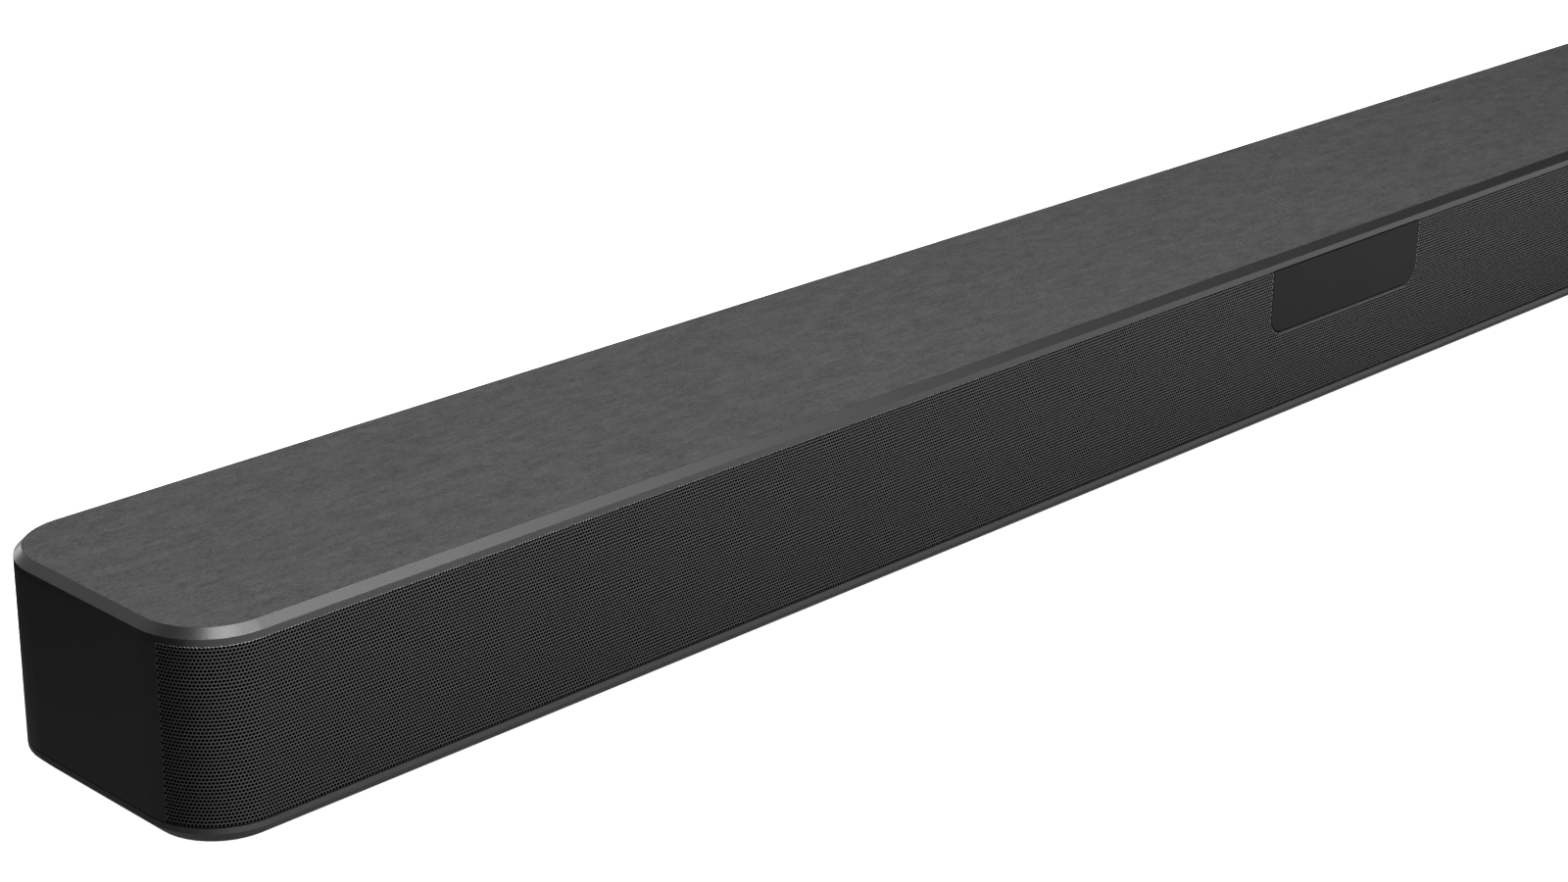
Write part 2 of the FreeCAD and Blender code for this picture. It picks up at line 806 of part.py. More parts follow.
def optical_shutter():
    """The sprung flap that closes the optical socket, on two stub pins."""
    half, x = optical_mouth / 2, optical_x
    x0, x1 = x - half + shutter_side_gap, x + half - shutter_side_gap
    y0, y1 = shutter_y - shutter_thickness / 2, shutter_y + shutter_thickness / 2
    flap = block(x0, x1, y0, y1, optical_z - half + shutter_side_gap, shutter_z)
    reach = half + shutter_pin_reach
    pins = Part.makeCylinder(shutter_pin_radius, 2 * reach, V(x - reach, shutter_y, shutter_z), X_AXIS)
    return fuse([flap, pins])


def main_board():
    """The main circuit board, screwed to four posts."""
    half = board_length / 2
    board = block(-half, half, board_front, board_back, board_bottom, board_top)
    return cut_all(board, [rod(screw_radius + screw_slip, x, y, 0, height) for x, y in board_posts()])


def board_components():
    """What stands on the main board: capacitors, coils, chips and plug headers."""
    y, top = board_front + capacitor_inset, board_top + capacitor_height
    places = [capacitor_x + i * capacitor_pitch for i in range(capacitor_count)]
    placed = [rod(capacitor_radius, x, y, board_top, top) for x in places]
    y, top = board_front + choke_inset, board_top + choke_height
    places = [choke_x + i * choke_pitch for i in range(choke_count)]
    placed += [rounded_block(choke_side, choke_side, choke_round, board_top, top, x, y) for x in places]
    behind = socket_back - chip_gap
    for x, y, length_x, length_y, tall in (
        (main_chip_x, behind - main_chip_side / 2, main_chip_side, main_chip_side, main_chip_height),
        (memory_chip_x, behind - memory_chip_side / 2, memory_chip_side, memory_chip_side, memory_chip_height),
        (heatsink_x, heatsink_y, amplifier_chip_side, amplifier_chip_side, amplifier_chip_height),
        (-header_x, lead_y, header_length, header_width, header_height),
        (header_x, lead_y, header_length, header_width, header_height),
    ):
        hx, hy = length_x / 2, length_y / 2
        placed.append(block(x - hx, x + hx, y - hy, y + hy, board_top, board_top + tall))
    return Part.makeCompound(placed)


def amplifier_heatsink():
    """A finned block on the amplifier chip, with two legs of its own."""
    base, foot = board_top + amplifier_chip_height, heatsink_foot
    x0, x1 = heatsink_x - heatsink_length / 2, heatsink_x + heatsink_length / 2
    y0, y1 = heatsink_y - heatsink_width / 2, heatsink_y + heatsink_width / 2
    pieces = [block(x0, x1, y0, y1, base, base + heatsink_base)]
    pitch = (heatsink_length - fin_thickness) / (fin_count - 1)
    for i in range(fin_count):
        x = x0 + i * pitch
        pieces.append(block(x, x + fin_thickness, y0, y1, base + heatsink_base - weld, base + heatsink_height))
    pieces.append(block(x0, x0 + foot, y0, y0 + foot, board_top, base + weld))
    pieces.append(block(x1 - foot, x1, y0, y0 + foot, board_top, base + weld))
    return fuse(pieces)


def radio_module():
    """The wireless board with its screening can."""
    y, top = board_back - radio_inset, board_top + radio_card_thickness
    card = block(radio_x, radio_x + radio_side, y - radio_side, y, board_top, top)
    half = radio_side / 2
    can = rounded_block(can_side, can_side, can_round, top, top + can_height, radio_x + half, y - half)
    return Part.makeCompound([card, can])


def display_window():
    """The dark window over the display, flush with the grille."""
    plate = window_block(0, front, frame_back, ring_top - seam)
    edges = [e for e in plate.Edges if abs(e.BoundBox.YMin - front) < 1e-4 and abs(e.BoundBox.YMax - front) < 1e-4]
    return plate.makeChamfer(window_break, edges)


def display_gasket():
    """The foam frame that seals the window to the display board."""
    z0, z1 = window_bottom + gasket_inset, display_board_top
    half, rim = window_width / 2 - gasket_side_inset, gasket_rim
    outer = block(-half, half, frame_back, display_board_y, z0, z1)
    return outer.cut(block(rim - half, half - rim, frame_back - 1, display_board_y + 1, z0 + rim, z1 - rim))


def display_module():
    """The block of light-emitting segments behind the window."""
    y0, half = display_board_y - segments_depth, segments_height / 2
    return block(segments_left, segments_right, y0, display_board_y, display_z - half, display_z + half)


def ir_receiver():
    """The remote-control receiver: a small body with a round lens."""
    x, y, r = receiver_x, display_board_y - receiver_depth, receiver_lens
    half, tall = receiver_width / 2, receiver_height / 2
    body = block(x - half, x + half, y, display_board_y, display_z - tall, display_z + tall)
    lens = Part.makeSphere(r, V(x, y, display_z))
    front_half = block(x - r, x + r, y - r, y + weld, display_z - r, display_z + r)
    return fuse([body, lens.common(front_half)])


def display_board():
    """The board that carries the display and the receiver."""
    half, slip = display_board_width / 2, small_screw_radius + screw_slip
    board = block(-half, half, display_board_y, display_board_back, display_board_bottom, display_board_top)
    y, through = display_board_y - 1, board_thickness + 2
    return cut_all(board, [bolt(slip, through, x, y, z) for x, z in display_stud_places()])


def button(x, y):
    """A round key with a retaining flange and stem, and the switch plunger under it."""
    flange_top = plate_bottom - button_clearance
    flange_bottom = flange_top - button_flange
    cap = rod(button_radius, x, y, flange_top - weld, height + button_proud)
    cap = cap.makeFillet(button_edge, level_edges(cap, height + button_proud))
    flange = rod(button_radius + button_flange_reach, x, y, flange_bottom, flange_top)
    key = fuse([cap, flange, rod(stem_radius, x, y, stem_bottom, flange_bottom + weld)])
    return Part.makeCompound([key, rod(plunger_radius, x, y, stem_bottom - plunger_length, stem_bottom)])


def tact_switches():
    """The four switch bodies on the button board, each with a well for its plunger."""
    half, switches = switch_side / 2, []
    well_floor = stem_bottom - plunger_length - button_travel - plunger_gap
    for x, y in button_places():
        body = block(x - half, x + half, y - half, y + half, button_board_top, switch_top)
        switches.append(body.cut(rod(plunger_radius + plunger_gap, x, y, well_floor, switch_top + 1)))
    return Part.makeCompound(switches)


def button_board():
    """The small board under the buttons."""
    half, half_width = button_board_length / 2, button_board_width / 2
    y0, y1 = button_y - half_width, button_y + half_width
    board = block(button_x - half, button_x + half, y0, y1, button_board_top - board_thickness, button_board_top)
    return cut_all(board, [rod(small_screw_radius + screw_slip, x, y, 0, height) for x, y in button_board_posts()])


def notch(grow):
    """The space over the right speaker box for the button board, grown on its closed sides."""
    half_x = button_board_length / 2 + notch_side + grow
    half_y = button_board_width / 2 + notch_side + grow
    z0 = box_top - notch_depth - grow
    return block(button_x - half_x, button_x + half_x, button_y - half_y, button_y + half_y, z0, box_top + 10.0)


def speaker_box(side):
    """A sealed chamber, open at the back, with holes in its face for the two drivers."""
    x0, x1 = sorted((side * box_inner_end, side * box_outer_end))
    outer = block(x0, x1, box_front, box_back - lid_thickness, box_bottom, box_top)
    t = box_wall
    inner = block(x0 + t, x1 - t, box_front + t, box_back, box_bottom + t, box_top - t)
    if side > 0:
        outer = outer.cut(notch(0))
        inner = inner.cut(notch(t))
    pieces = [outer]
    for (x, y), end in zip(ear_places(side), (side * box_inner_end, side * box_outer_end)):
        pieces.append(rod(ear_radius, x, y, box_bottom, box_bottom + ear_height))
        a, b = sorted((x, end + math.copysign(1.0, end - x)))
        pieces.append(block(a, b, y - ear_radius, y + ear_radius, box_bottom, box_bottom + ear_height))
    around = 2 * (basket_wall + driver_slip)
    opening = (woofer_opening_length + around, woofer_opening_width + around, woofer_length)
    cutters = [inner, face_front(rounded_block(*opening, -t - 1, 1), side * woofer_x, box_front, driver_z)]
    cutters.append(bolt(tweeter_magnet_radius + driver_slip, t + 2, side * tweeter_x, box_front - 1, driver_z))
    thread = small_screw_radius + fit_gap
    cutters += [bolt(thread, t + 2, x, box_front - 1, z) for x, z, _ in driver_screws(side)]
    cutters += [rod(screw_radius + screw_slip, x, y, box_bottom - 1, box_top) for x, y in ear_places(side)]
    start = V(side * box_inner_end - t - 1, lead_y, lead_z)
    cutters.append(Part.makeCylinder(lead_radius + fit_gap, 2 * t + 2, start, X_AXIS))
    return cut_all(fuse(pieces), cutters)


def box_lid(side):
    """The flat back of a speaker box, stiffened by three ribs."""
    x0, x1 = sorted((side * box_inner_end, side * box_outer_end))
    pieces = [block(x0, x1, box_back - lid_thickness, box_back, box_bottom, box_top)]
    z0, z1 = box_bottom + lid_rib_end, box_top - lid_rib_end
    for x in (x0 + lid_rib_inset, (x0 + x1) / 2, x1 - lid_rib_inset):
        pieces.append(block(x - lid_rib, x + lid_rib, box_back - weld, box_back + lid_rib, z0, z1))
    return fuse(pieces)


def woofer_basket():
    """The woofer's frame: flange, tapering bowl with windows, back plate, spider ledge and terminals."""
    ow, oh, t = woofer_opening_length, woofer_opening_width, basket_wall
    back_w, back_h = basket_back_length, oh - 2 * basket_taper
    flange = rounded_block(woofer_length, woofer_width, woofer_corner, 0, woofer_flange)
    bowl = loft(
        rounded_wire(back_w + 2 * t, back_h + 2 * t, ow, -basket_depth),
        rounded_wire(ow + 2 * t, oh + 2 * t, ow, basket_join),
    )
    hollow = loft(rounded_wire(back_w, back_h, ow, t - basket_depth), rounded_wire(ow, oh, ow, 0))
    ledge = tube(spider_radius + spider_margin, spider_radius - spider_land, t / 2 - basket_depth, spider_z)
    terminals = []
    for s in (-1, 1):
        x, y, half = s * terminal_x, lead_z - driver_z, terminal_side / 2
        foot = -basket_depth - terminal_side
        terminals.append(block(x - half, x + half, y - half, y + half, foot, weld - basket_depth))
    shell = fuse([flange, bowl]).cut(hollow).cut(rounded_block(ow, oh, ow, 0, woofer_flange + 1))
    cutters = [rod(gap_radius, 0, 0, -basket_depth - 1, spider_z)]
    low, high = basket_window_low - basket_depth, -basket_window_high
    for x in (-basket_window_x, basket_window_x):
        cutters.append(rounded_block(basket_window_length, oh / 2, basket_window_round, low, high, x))
    slip, past = small_screw_radius + screw_slip, woofer_flange + 1
    cutters += [rod(slip, x, y, -past, past) for x, y in woofer_screw_offsets()]
    return cut_all(fuse([shell, ledge] + terminals), cutters)


def racetrack(profile, straight, end_radius):
    """Carries a closed profile, drawn in the XZ plane about x = 0, round a racetrack of that end radius."""
    moved = profile.copy()
    moved.translate(V(end_radius, 0, 0))
    end = moved.revolve(ORIGIN, Z_AXIS, 180)
    end.rotate(ORIGIN, Z_AXIS, -90)
    end.translate(V(straight, 0, 0))
    side = profile.copy()
    side.rotate(ORIGIN, Z_AXIS, 90)
    side.translate(V(-straight, end_radius, 0))
    halves = [end, side.extrude(V(2 * straight, 0, 0))]
    for half in list(halves):
        other = half.copy()
        other.rotate(ORIGIN, Z_AXIS, 180)
        halves.append(other)
    return fuse(halves)


def woofer_surround():
    """The rubber half-roll between the flange and the cone."""
    out, thin = surround_width / 2, surround_thickness
    inner, land = out - thin, out + surround_land
    lift = math.sqrt(out * out - thin * thin)
    edges = [
        Part.makeLine(V(land, 0, 0), V(inner, 0, 0)),
        Part.Arc(V(inner, 0, 0), V(0, 0, inner), V(-inner, 0, 0)).toShape(),
        Part.makeLine(V(-inner, 0, 0), V(-land, 0, 0)),
        Part.makeLine(V(-land, 0, 0), V(-land, 0, thin)),
        Part.makeLine(V(-land, 0, thin), V(-lift, 0, thin)),
        Part.Arc(V(-lift, 0, thin), V(0, 0, out), V(lift, 0, thin)).toShape(),
        Part.makeLine(V(lift, 0, thin), V(land, 0, thin)),
        Part.makeLine(V(land, 0, thin), V(land, 0, 0)),
    ]
    end_radius = (woofer_opening_width - surround_width) / 2
    straight = (woofer_opening_length - woofer_opening_width) / 2
    roll = racetrack(Part.Face(Part.Wire(edges)), straight, end_radius)
    roll.translate(V(0, 0, woofer_flange))
    return roll


def neck_wire(radius, z):
    """A circle in four arcs, which match a racetrack's four sides."""
    circle = Part.Circle(V(0, 0, z), Z_AXIS, radius)
    cuts = [-neck_arc, neck_arc, 180 - neck_arc, 180 + neck_arc, 360 - neck_arc]
    return Part.Wire([Part.Edge(circle, math.radians(a), math.radians(b)) for a, b in zip(cuts, cuts[1:])])


def racetrack_wire(x_size, y_size, z):
    """A racetrack in two half circles and two straight runs."""
    r = y_size / 2
    s = x_size / 2 - r
    right = Part.Edge(Part.Circle(V(s, 0, z), Z_AXIS, r), -math.pi / 2, math.pi / 2)
    left = Part.Edge(Part.Circle(V(-s, 0, z), Z_AXIS, r), math.pi / 2, 3 * math.pi / 2)
    top = Part.makeLine(V(s, r, z), V(-s, r, z))
    return Part.Wire([right, top, left, Part.makeLine(V(-s, -r, z), V(s, -r, z))])


def woofer_cone():
    """The paper cone, from its racetrack edge to the round neck, and the dust cap over the neck."""
    neck, t, top = coil_radius + fit_gap, cone_thickness, woofer_flange
    long_side, short_side = cone_length, cone_width + 2 * cone_rim
    outside = loft(neck_wire(neck + t, neck_z), racetrack_wire(long_side, short_side, top - t))
    inside = loft(
        neck_wire(neck, neck_z - cone_lap),
        racetrack_wire(long_side - 2 * t, short_side - 2 * t, top - t + cone_lap),
    )
    rim = rounded_block(long_side, short_side, long_side, top - t, top)
    shrink = 4 * cone_rim
    rim = rim.cut(rounded_block(long_side - shrink, short_side - shrink, long_side, top - t - 1, top + 1))
    centre = coil_top - math.sqrt(dust_cap_ball**2 - coil_radius**2)
    ball, hollow = (Part.makeSphere(r, V(0, 0, centre)) for r in (dust_cap_ball, dust_cap_ball - dust_cap_skin))
    cap = ball.cut(hollow).common(rod(coil_radius - 0.1, 0, 0, coil_top, coil_top + dust_cap_ball))
    return Part.makeCompound([fuse([outside.cut(inside), rim]), cap])


def voice_coil():
    """The former under the cone with its winding in the magnet's gap."""
    former = tube(coil_radius, coil_radius - coil_wall, coil_bottom, coil_top)
    outer, inner = coil_radius + coil_winding, coil_radius - coil_wall
    return fuse([former, tube(outer, inner, coil_bottom, coil_bottom + winding_length)])


def woofer_yoke():
    """The steel cup round the magnet."""
    bottom = -basket_depth - yoke_length
    cup = rod(yoke_radius, 0, 0, bottom, -basket_depth)
    return cup.cut(rod(gap_radius, 0, 0, bottom + yoke_floor, 1 - basket_depth))


def woofer_magnet():
    """The magnet slug in the cup and the pole plate on it."""
    floor = yoke_floor - basket_depth - yoke_length
    pole_radius = coil_radius - coil_wall - pole_gap
    split = -basket_depth - pole_thickness
    slug = rod(pole_radius - slug_inset, 0, 0, floor, split)
    return Part.makeCompound([slug, rod(pole_radius, 0, 0, split, -basket_depth)])


def woofer_spider():
    """The corrugated disc that centres the voice coil."""
    inner, steps = coil_radius + fit_gap, 2 * spider_waves
    span = (spider_radius - inner) / steps
    radii = [inner + span * i for i in range(steps + 1)]
    lower = [V(r, 0, spider_z + spider_wave * (i % 2)) for i, r in enumerate(radii)]
    upper = [p + V(0, 0, spider_thickness) for p in lower]
    return spun(lower + upper[::-1] + lower[:1])


def tweeter_plate():
    """The tweeter's front plate, flared round the dome, with a recess behind for the dome's edge."""
    plate = rod(tweeter_radius, 0, 0, 0, tweeter_plate_thickness)
    mouth = dome_edge + dome_clearance
    flare_z = tweeter_plate_thickness - tweeter_flare + flare_past
    cutters = [
        Part.makeCone(mouth, mouth + tweeter_flare, tweeter_flare, V(0, 0, flare_z)),
        rod(mouth, 0, 0, -1, tweeter_plate_thickness + 1),
        rod(dome_edge + dome_land + dome_clearance, 0, 0, -1, dome_recess),
    ]
    slip, past = small_screw_radius + screw_slip, tweeter_plate_thickness + 1
    cutters += [rod(slip, x, y, -1, past) for x, y in tweeter_screw_offsets()]
    return cut_all(plate, cutters)


def tweeter_dome():
    """The silk dome with its edge roll, clamped rim and voice coil, in one piece."""
    s, t, r, edge = dome_seat, dome_skin, dome_radius, dome_edge
    ball = (r**2 + dome_height**2) / (2 * dome_height)
    centre = s + dome_height - ball
    inner_ball = ball - t
    rim = math.sqrt(inner_ball**2 - (s - t - centre) ** 2)

    def on_ball(radius, x):
        return V(x, 0, centre + math.sqrt(radius**2 - x**2))

    roll_x = r + dome_roll
    edges = [
        Part.Arc(on_ball(ball, 0), on_ball(ball, r / 2), V(r, 0, s)).toShape(),
        Part.Arc(V(r, 0, s), V(roll_x, 0, s + dome_roll), V(edge, 0, s)).toShape(),
    ]
    outer = edge + dome_land
    corners = [V(edge, 0, s), V(outer, 0, s), V(outer, 0, s - t), V(edge - t, 0, s - t), V(edge - t, 0, s)]
    edges += [Part.makeLine(a, b) for a, b in zip(corners, corners[1:])]
    edges.append(Part.Arc(V(edge - t, 0, s), V(roll_x, 0, s + dome_roll - t), V(r + t, 0, s)).toShape())
    low = s - t - dome_coil_length
    corners = [V(r + t, 0, s), V(r + t, 0, low), V(r, 0, low), V(r, 0, s - t), V(rim, 0, s - t)]
    edges += [Part.makeLine(a, b) for a, b in zip(corners, corners[1:])]
    edges.append(Part.Arc(V(rim, 0, s - t), on_ball(inner_ball, rim / 2), on_ball(inner_ball, 0)).toShape())
    edges.append(Part.makeLine(on_ball(inner_ball, 0), on_ball(ball, 0)))
    return spun(edges)


def tweeter_magnet():
    """The tweeter's magnet with the groove that its coil moves in."""
    body = rod(tweeter_magnet_radius, 0, 0, -tweeter_magnet_length, 0)
    depth_below = dome_coil_length + dome_coil_room
    outer, inner = dome_radius + dome_skin + dome_coil_slot, dome_radius - dome_coil_slot
    return body.cut(tube(outer, inner, -depth_below, 1))


def speaker_screws():
    """The screws of the drivers and of the speaker boxes' ears."""
    screws = []
    driver = screw(small_screw_radius, driver_screw_reach, small_head_radius, small_head_height)
    ear_top = box_bottom + ear_height
    reach = ear_top - floor_top - ear_screw_gap
    for side in (-1, 1):
        screws += [face_front(driver, x, seat, z) for x, z, seat in driver_screws(side)]
        screws += [screw_down(x, y, ear_top, reach) for x, y in ear_places(side)]
    return Part.makeCompound(screws)


def case_screws():
    """The eight long screws from below that close the casing."""
    seat = body_bottom + screw_recess
    reach = post_split + screw_grip - screw_room - seat
    screws = []
    for x, y in case_post_places():
        placed = screw(screw_radius, reach, screw_head_radius, screw_head_height)
        placed.rotate(ORIGIN, X_AXIS, 180)
        placed.translate(V(x, y, seat))
        screws.append(placed)
    return Part.makeCompound(screws)


def board_screws():
    """The screws of the main board, the button board and the display board."""
    screws = [screw_down(x, y, board_top, board_thickness + board_screw_grip) for x, y in board_posts()]
    seat, reach = button_board_top - board_thickness, board_thickness + small_screw_grip
    screws += [small_screw_up(x, y, seat, reach) for x, y in button_board_posts()]
    reach = board_thickness + display_standoff - screw_room
    for x, z in display_stud_places():
        placed = screw(small_screw_radius, reach, small_head_radius, small_head_height)
        placed.rotate(ORIGIN, X_AXIS, -90)
        placed.translate(V(x, display_board_back, z))
        screws.append(placed)
    return Part.makeCompound(screws)


def rounded_path(points, radius):
    """Straight runs through points, with a tangent arc of one radius at each inner point."""
    edges, start = [], points[0]
    for a, b, c in zip(points, points[1:], points[2:]):
        u, w = (a - b).normalize(), (c - b).normalize()
        half = math.acos(max(-1.0, min(1.0, u.dot(w)))) / 2
        p, q = b + u * (radius / math.tan(half)), b + w * (radius / math.tan(half))
        middle = b + (u + w).normalize() * (radius / math.sin(half) - radius)
        edges += [Part.makeLine(start, p), Part.Arc(p, middle, q).toShape()]
        start = q
    edges.append(Part.makeLine(start, points[-1]))
    return Part.Wire(edges)


def lead(points):
    """A round lead along a rounded path."""
    direction = (points[1] - points[0]).normalize()
    start = Part.Wire(Part.Edge(Part.Circle(points[0], direction, lead_radius)))
    return rounded_path(points, lead_bend).makePipeShell([start], True, True)


def speaker_leads(side):
    """The lead from the main board to the woofer, and the one from the woofer on to the tweeter."""
    near, far = side * (woofer_x - terminal_x), side * (woofer_x + terminal_x)
    terminal_y = box_front + basket_depth + terminal_side
    header = side * header_x
    main = [
        V(header, lead_y, board_top + header_height),
        V(header, lead_y, lead_z),
        V(near, lead_y, lead_z),
        V(near, terminal_y, lead_z),
    ]
    link = [
        V(far, terminal_y, lead_z),
        V(far, lead_y, lead_z),
        V(side * tweeter_x, lead_y, lead_z),
        V(side * tweeter_x, box_front + tweeter_magnet_length, lead_z),
    ]
    return Part.makeCompound([lead(main), lead(link)])


def ribbon(points, width, bend, across):
    """A flat cable: a thin band along a rounded path, spread along one row axis."""
    thin = (points[1] - points[0]).normalize().cross(across) * (ribbon_thickness / 2)
    spread = across * (width / 2)
    corners = [points[0] + thin * a + spread * b for a, b in ((1, 1), (-1, 1), (-1, -1), (1, -1))]
    start = Part.makePolygon(corners + corners[:1])
    return rounded_path(points, bend).makePipeShell([start], True, True)


def display_ribbon():
    """The flat cable from the display board down to the main board."""
    x, y = display_ribbon_x, display_board_back
    z, level = display_board_bottom + display_ribbon_inset, board_top + display_ribbon_level
    near, far = y + display_ribbon_reach, y + display_ribbon_run
    route = ((y, z), (near, z), (near, level), (far, level), (far, board_top))
    return ribbon([V(x, a, b) for a, b in route], display_ribbon_width, display_ribbon_bend, X_AXIS)


def button_ribbon():
    """The flat cable from the button board over the right box to the main board."""
    board_end, over = button_x - button_board_length / 2, (box_top + plate_bottom) / 2
    level, low = button_board_top - board_thickness / 2, board_top + button_ribbon_level
    inner = box_inner_end - button_ribbon_inset
    route = (
        (board_end, level),
        (board_end - button_ribbon_reach, level),
        (board_end - button_ribbon_reach, over),
        (inner, over),
        (inner, low),
        (button_ribbon_x, low),
        (button_ribbon_x, board_top),
    )
    return ribbon([V(x, button_y, z) for x, z in route], button_ribbon_width, button_ribbon_bend, Y_AXIS)


def casing_nodes():
    """The covers, the grille and what is fixed in them."""
    return {
        "top_cover": top_cover(),
        "top_inlay": top_inlay(),
        "bottom_cover": bottom_cover(),
        "rear_cover": rear_cover(),
        "front_grille": front_grille(),
        "grille_cloth": grille_cloth(),
        "grille_frame": grille_frame(),
        "rubber_feet": rubber_feet(),
        "wall_mount_inserts": wall_mount_inserts(),
        "case_screws": case_screws(),
    }


def electronics_nodes():
    """The boards, what stands on them, the display and the sockets."""
    return {
        "display_window": display_window(),
        "display_gasket": display_gasket(),
        "display_module": display_module(),
        "display_board": display_board(),
        "ir_receiver": ir_receiver(),
        "display_ribbon": display_ribbon(),
        "button_board": button_board(),
        "tact_switches": tact_switches(),
        "button_ribbon": button_ribbon(),
        "main_board": main_board(),
        "board_components": board_components(),
        "board_screws": board_screws(),
        "amplifier_heatsink": amplifier_heatsink(),
        "radio_module": radio_module(),
        "video_sockets": video_sockets(),
        "data_socket": data_socket(),
        "optical_socket": optical_socket(),
        "optical_shutter": optical_shutter(),
        "power_socket": power_socket(),
    }


def button_nodes():
    """The four buttons, from left to right."""
    names = ("power_button", "input_button", "volume_down_button", "volume_up_button")
    return {name: button(x, y) for name, (x, y) in zip(names, button_places())}


def speaker_nodes():
    """The speaker boxes and their drivers, the same on both sides of the bar."""
    drivers = (
        (woofer_basket, woofer_x),
        (woofer_cone, woofer_x),
        (woofer_surround, woofer_x),
        (woofer_spider, woofer_x),
        (woofer_yoke, woofer_x),
        (woofer_magnet, woofer_x),
        (voice_coil, woofer_x),
        (tweeter_plate, tweeter_x),
        (tweeter_dome, tweeter_x),
        (tweeter_magnet, tweeter_x),
    )
    sides = (("left", -1), ("right", 1))
    nodes = {"speaker_screws": speaker_screws()}
    for make, x in drivers:
        shape = make()
        for word, side in sides:
            nodes[f"{make.__name__}_{word}"] = face_front(shape, side * x, box_front, driver_z)
    for word, side in sides:
        nodes[f"speaker_box_{word}"] = speaker_box(side)
        nodes[f"box_lid_{word}"] = box_lid(side)
        nodes[f"speaker_leads_{word}"] = speaker_leads(side)
    return nodes


os.makedirs("parts", exist_ok=True)
nodes = casing_nodes() | electronics_nodes() | button_nodes() | speaker_nodes()
for node, shape in nodes.items():
    solids = shape.Solids
    sound = all(s.isValid() and s.isClosed() and s.Volume > 0 for s in solids)
    volume = sum(s.Volume for s in solids)
    print(f"{node}: {len(solids)} solid(s), {volume:.0f} mm3{'' if sound else '  NOT SOUND'}")
    shape.exportStep(f"parts/{node}.step")
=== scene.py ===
"""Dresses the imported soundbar: grille, button marks, socket metalwork, finishes and studio."""

import logging
import math
import random
from dataclasses import dataclass
from enum import Enum
from typing import Any, Iterable, Optional, Sequence, Union

import bpy
import numpy as np
from mathutils import Matrix, Vector


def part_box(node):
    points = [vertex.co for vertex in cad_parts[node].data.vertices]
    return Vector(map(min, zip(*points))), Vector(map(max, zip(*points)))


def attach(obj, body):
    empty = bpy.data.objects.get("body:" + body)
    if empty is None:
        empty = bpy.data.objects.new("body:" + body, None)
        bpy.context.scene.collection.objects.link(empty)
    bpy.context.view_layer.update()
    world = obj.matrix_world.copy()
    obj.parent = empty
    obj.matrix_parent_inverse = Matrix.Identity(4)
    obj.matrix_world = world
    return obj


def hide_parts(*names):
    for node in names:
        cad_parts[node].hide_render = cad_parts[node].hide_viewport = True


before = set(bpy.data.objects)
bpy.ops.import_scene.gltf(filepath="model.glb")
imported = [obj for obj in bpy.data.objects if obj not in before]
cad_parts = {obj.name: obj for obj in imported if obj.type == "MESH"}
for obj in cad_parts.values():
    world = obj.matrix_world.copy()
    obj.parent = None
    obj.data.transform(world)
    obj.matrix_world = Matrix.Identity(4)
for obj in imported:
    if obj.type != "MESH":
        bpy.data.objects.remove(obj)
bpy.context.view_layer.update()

LOG = logging.getLogger("soundbar")
MM = 0.001
Colour = tuple[float, float, float]


class Axis(Enum):
    """The bar's three axes, as places in a vector."""

    X = 0
    Y = 1
    Z = 2


# ---------------------------------------------------------------------------------------------
# Shader building


class Value:
    """One output socket of a shader graph, with the arithmetic that adds Math nodes to it."""

    def __init__(self, graph: "Graph", socket: bpy.types.NodeSocket) -> None:
        """Holds a socket of a graph."""
        self.graph = graph
        self.socket = socket

    def math(self, operation: str, *others: "Input", reflected: bool = False) -> "Value":
        """Adds a Math node that works on this value.

        Args:
            operation: The Math node's operation.
            others: The other operands.
            reflected: Whether this value is the second operand.

        Returns:
            The node's result.
        """
        operands = [self, *others]
        if reflected:
            operands.reverse()
        settings = {"operation": operation}
        return self.graph.node("ShaderNodeMath", settings, dict(enumerate(operands)))

    def __add__(self, other: "Input") -> "Value":
        """This value plus another."""
        return self.math("ADD", other)

    __radd__ = __add__

    def __mul__(self, other: "Input") -> "Value":
        """This value times another."""
        return self.math("MULTIPLY", other)

    __rmul__ = __mul__

    def __sub__(self, other: "Input") -> "Value":
        """This value less another."""
        return self.math("SUBTRACT", other)

    def __rsub__(self, other: "Input") -> "Value":
        """Another value less this one."""
        return self.math("SUBTRACT", other, reflected=True)

    def swing(self, share: float) -> "Value":
        """This value's distance from one half, times a share."""
        return (self - 0.5) * share

    def sine(self) -> "Value":
        """The sine of this value in radians."""
        return self.math("SINE")

    def size(self) -> "Value":
        """This value without its sign."""
        return self.math("ABSOLUTE")

    def above(self, edge: "Input") -> "Value":
        """One where this value is over an edge, and zero elsewhere."""
        return self.math("GREATER_THAN", edge)

    def larger(self, other: "Input") -> "Value":
        """The larger of this value and another."""
        return self.math("MAXIMUM", other)

    def ease(self, low: float, high: float) -> "Value":
        """Rises smoothly from zero to one.

        Args:
            low: Where the rise starts.
            high: Where the rise ends.

        Returns:
            The eased value.
        """
        ends = {"Value": self, "From Min": low, "From Max": high}
        return self.graph.node("ShaderNodeMapRange", {"interpolation_type": "SMOOTHSTEP"}, ends)


Input = Union[Value, float, Sequence[float]]
Paint = Union[Value, Colour]
Sizes = Union[float, Sequence[float]]


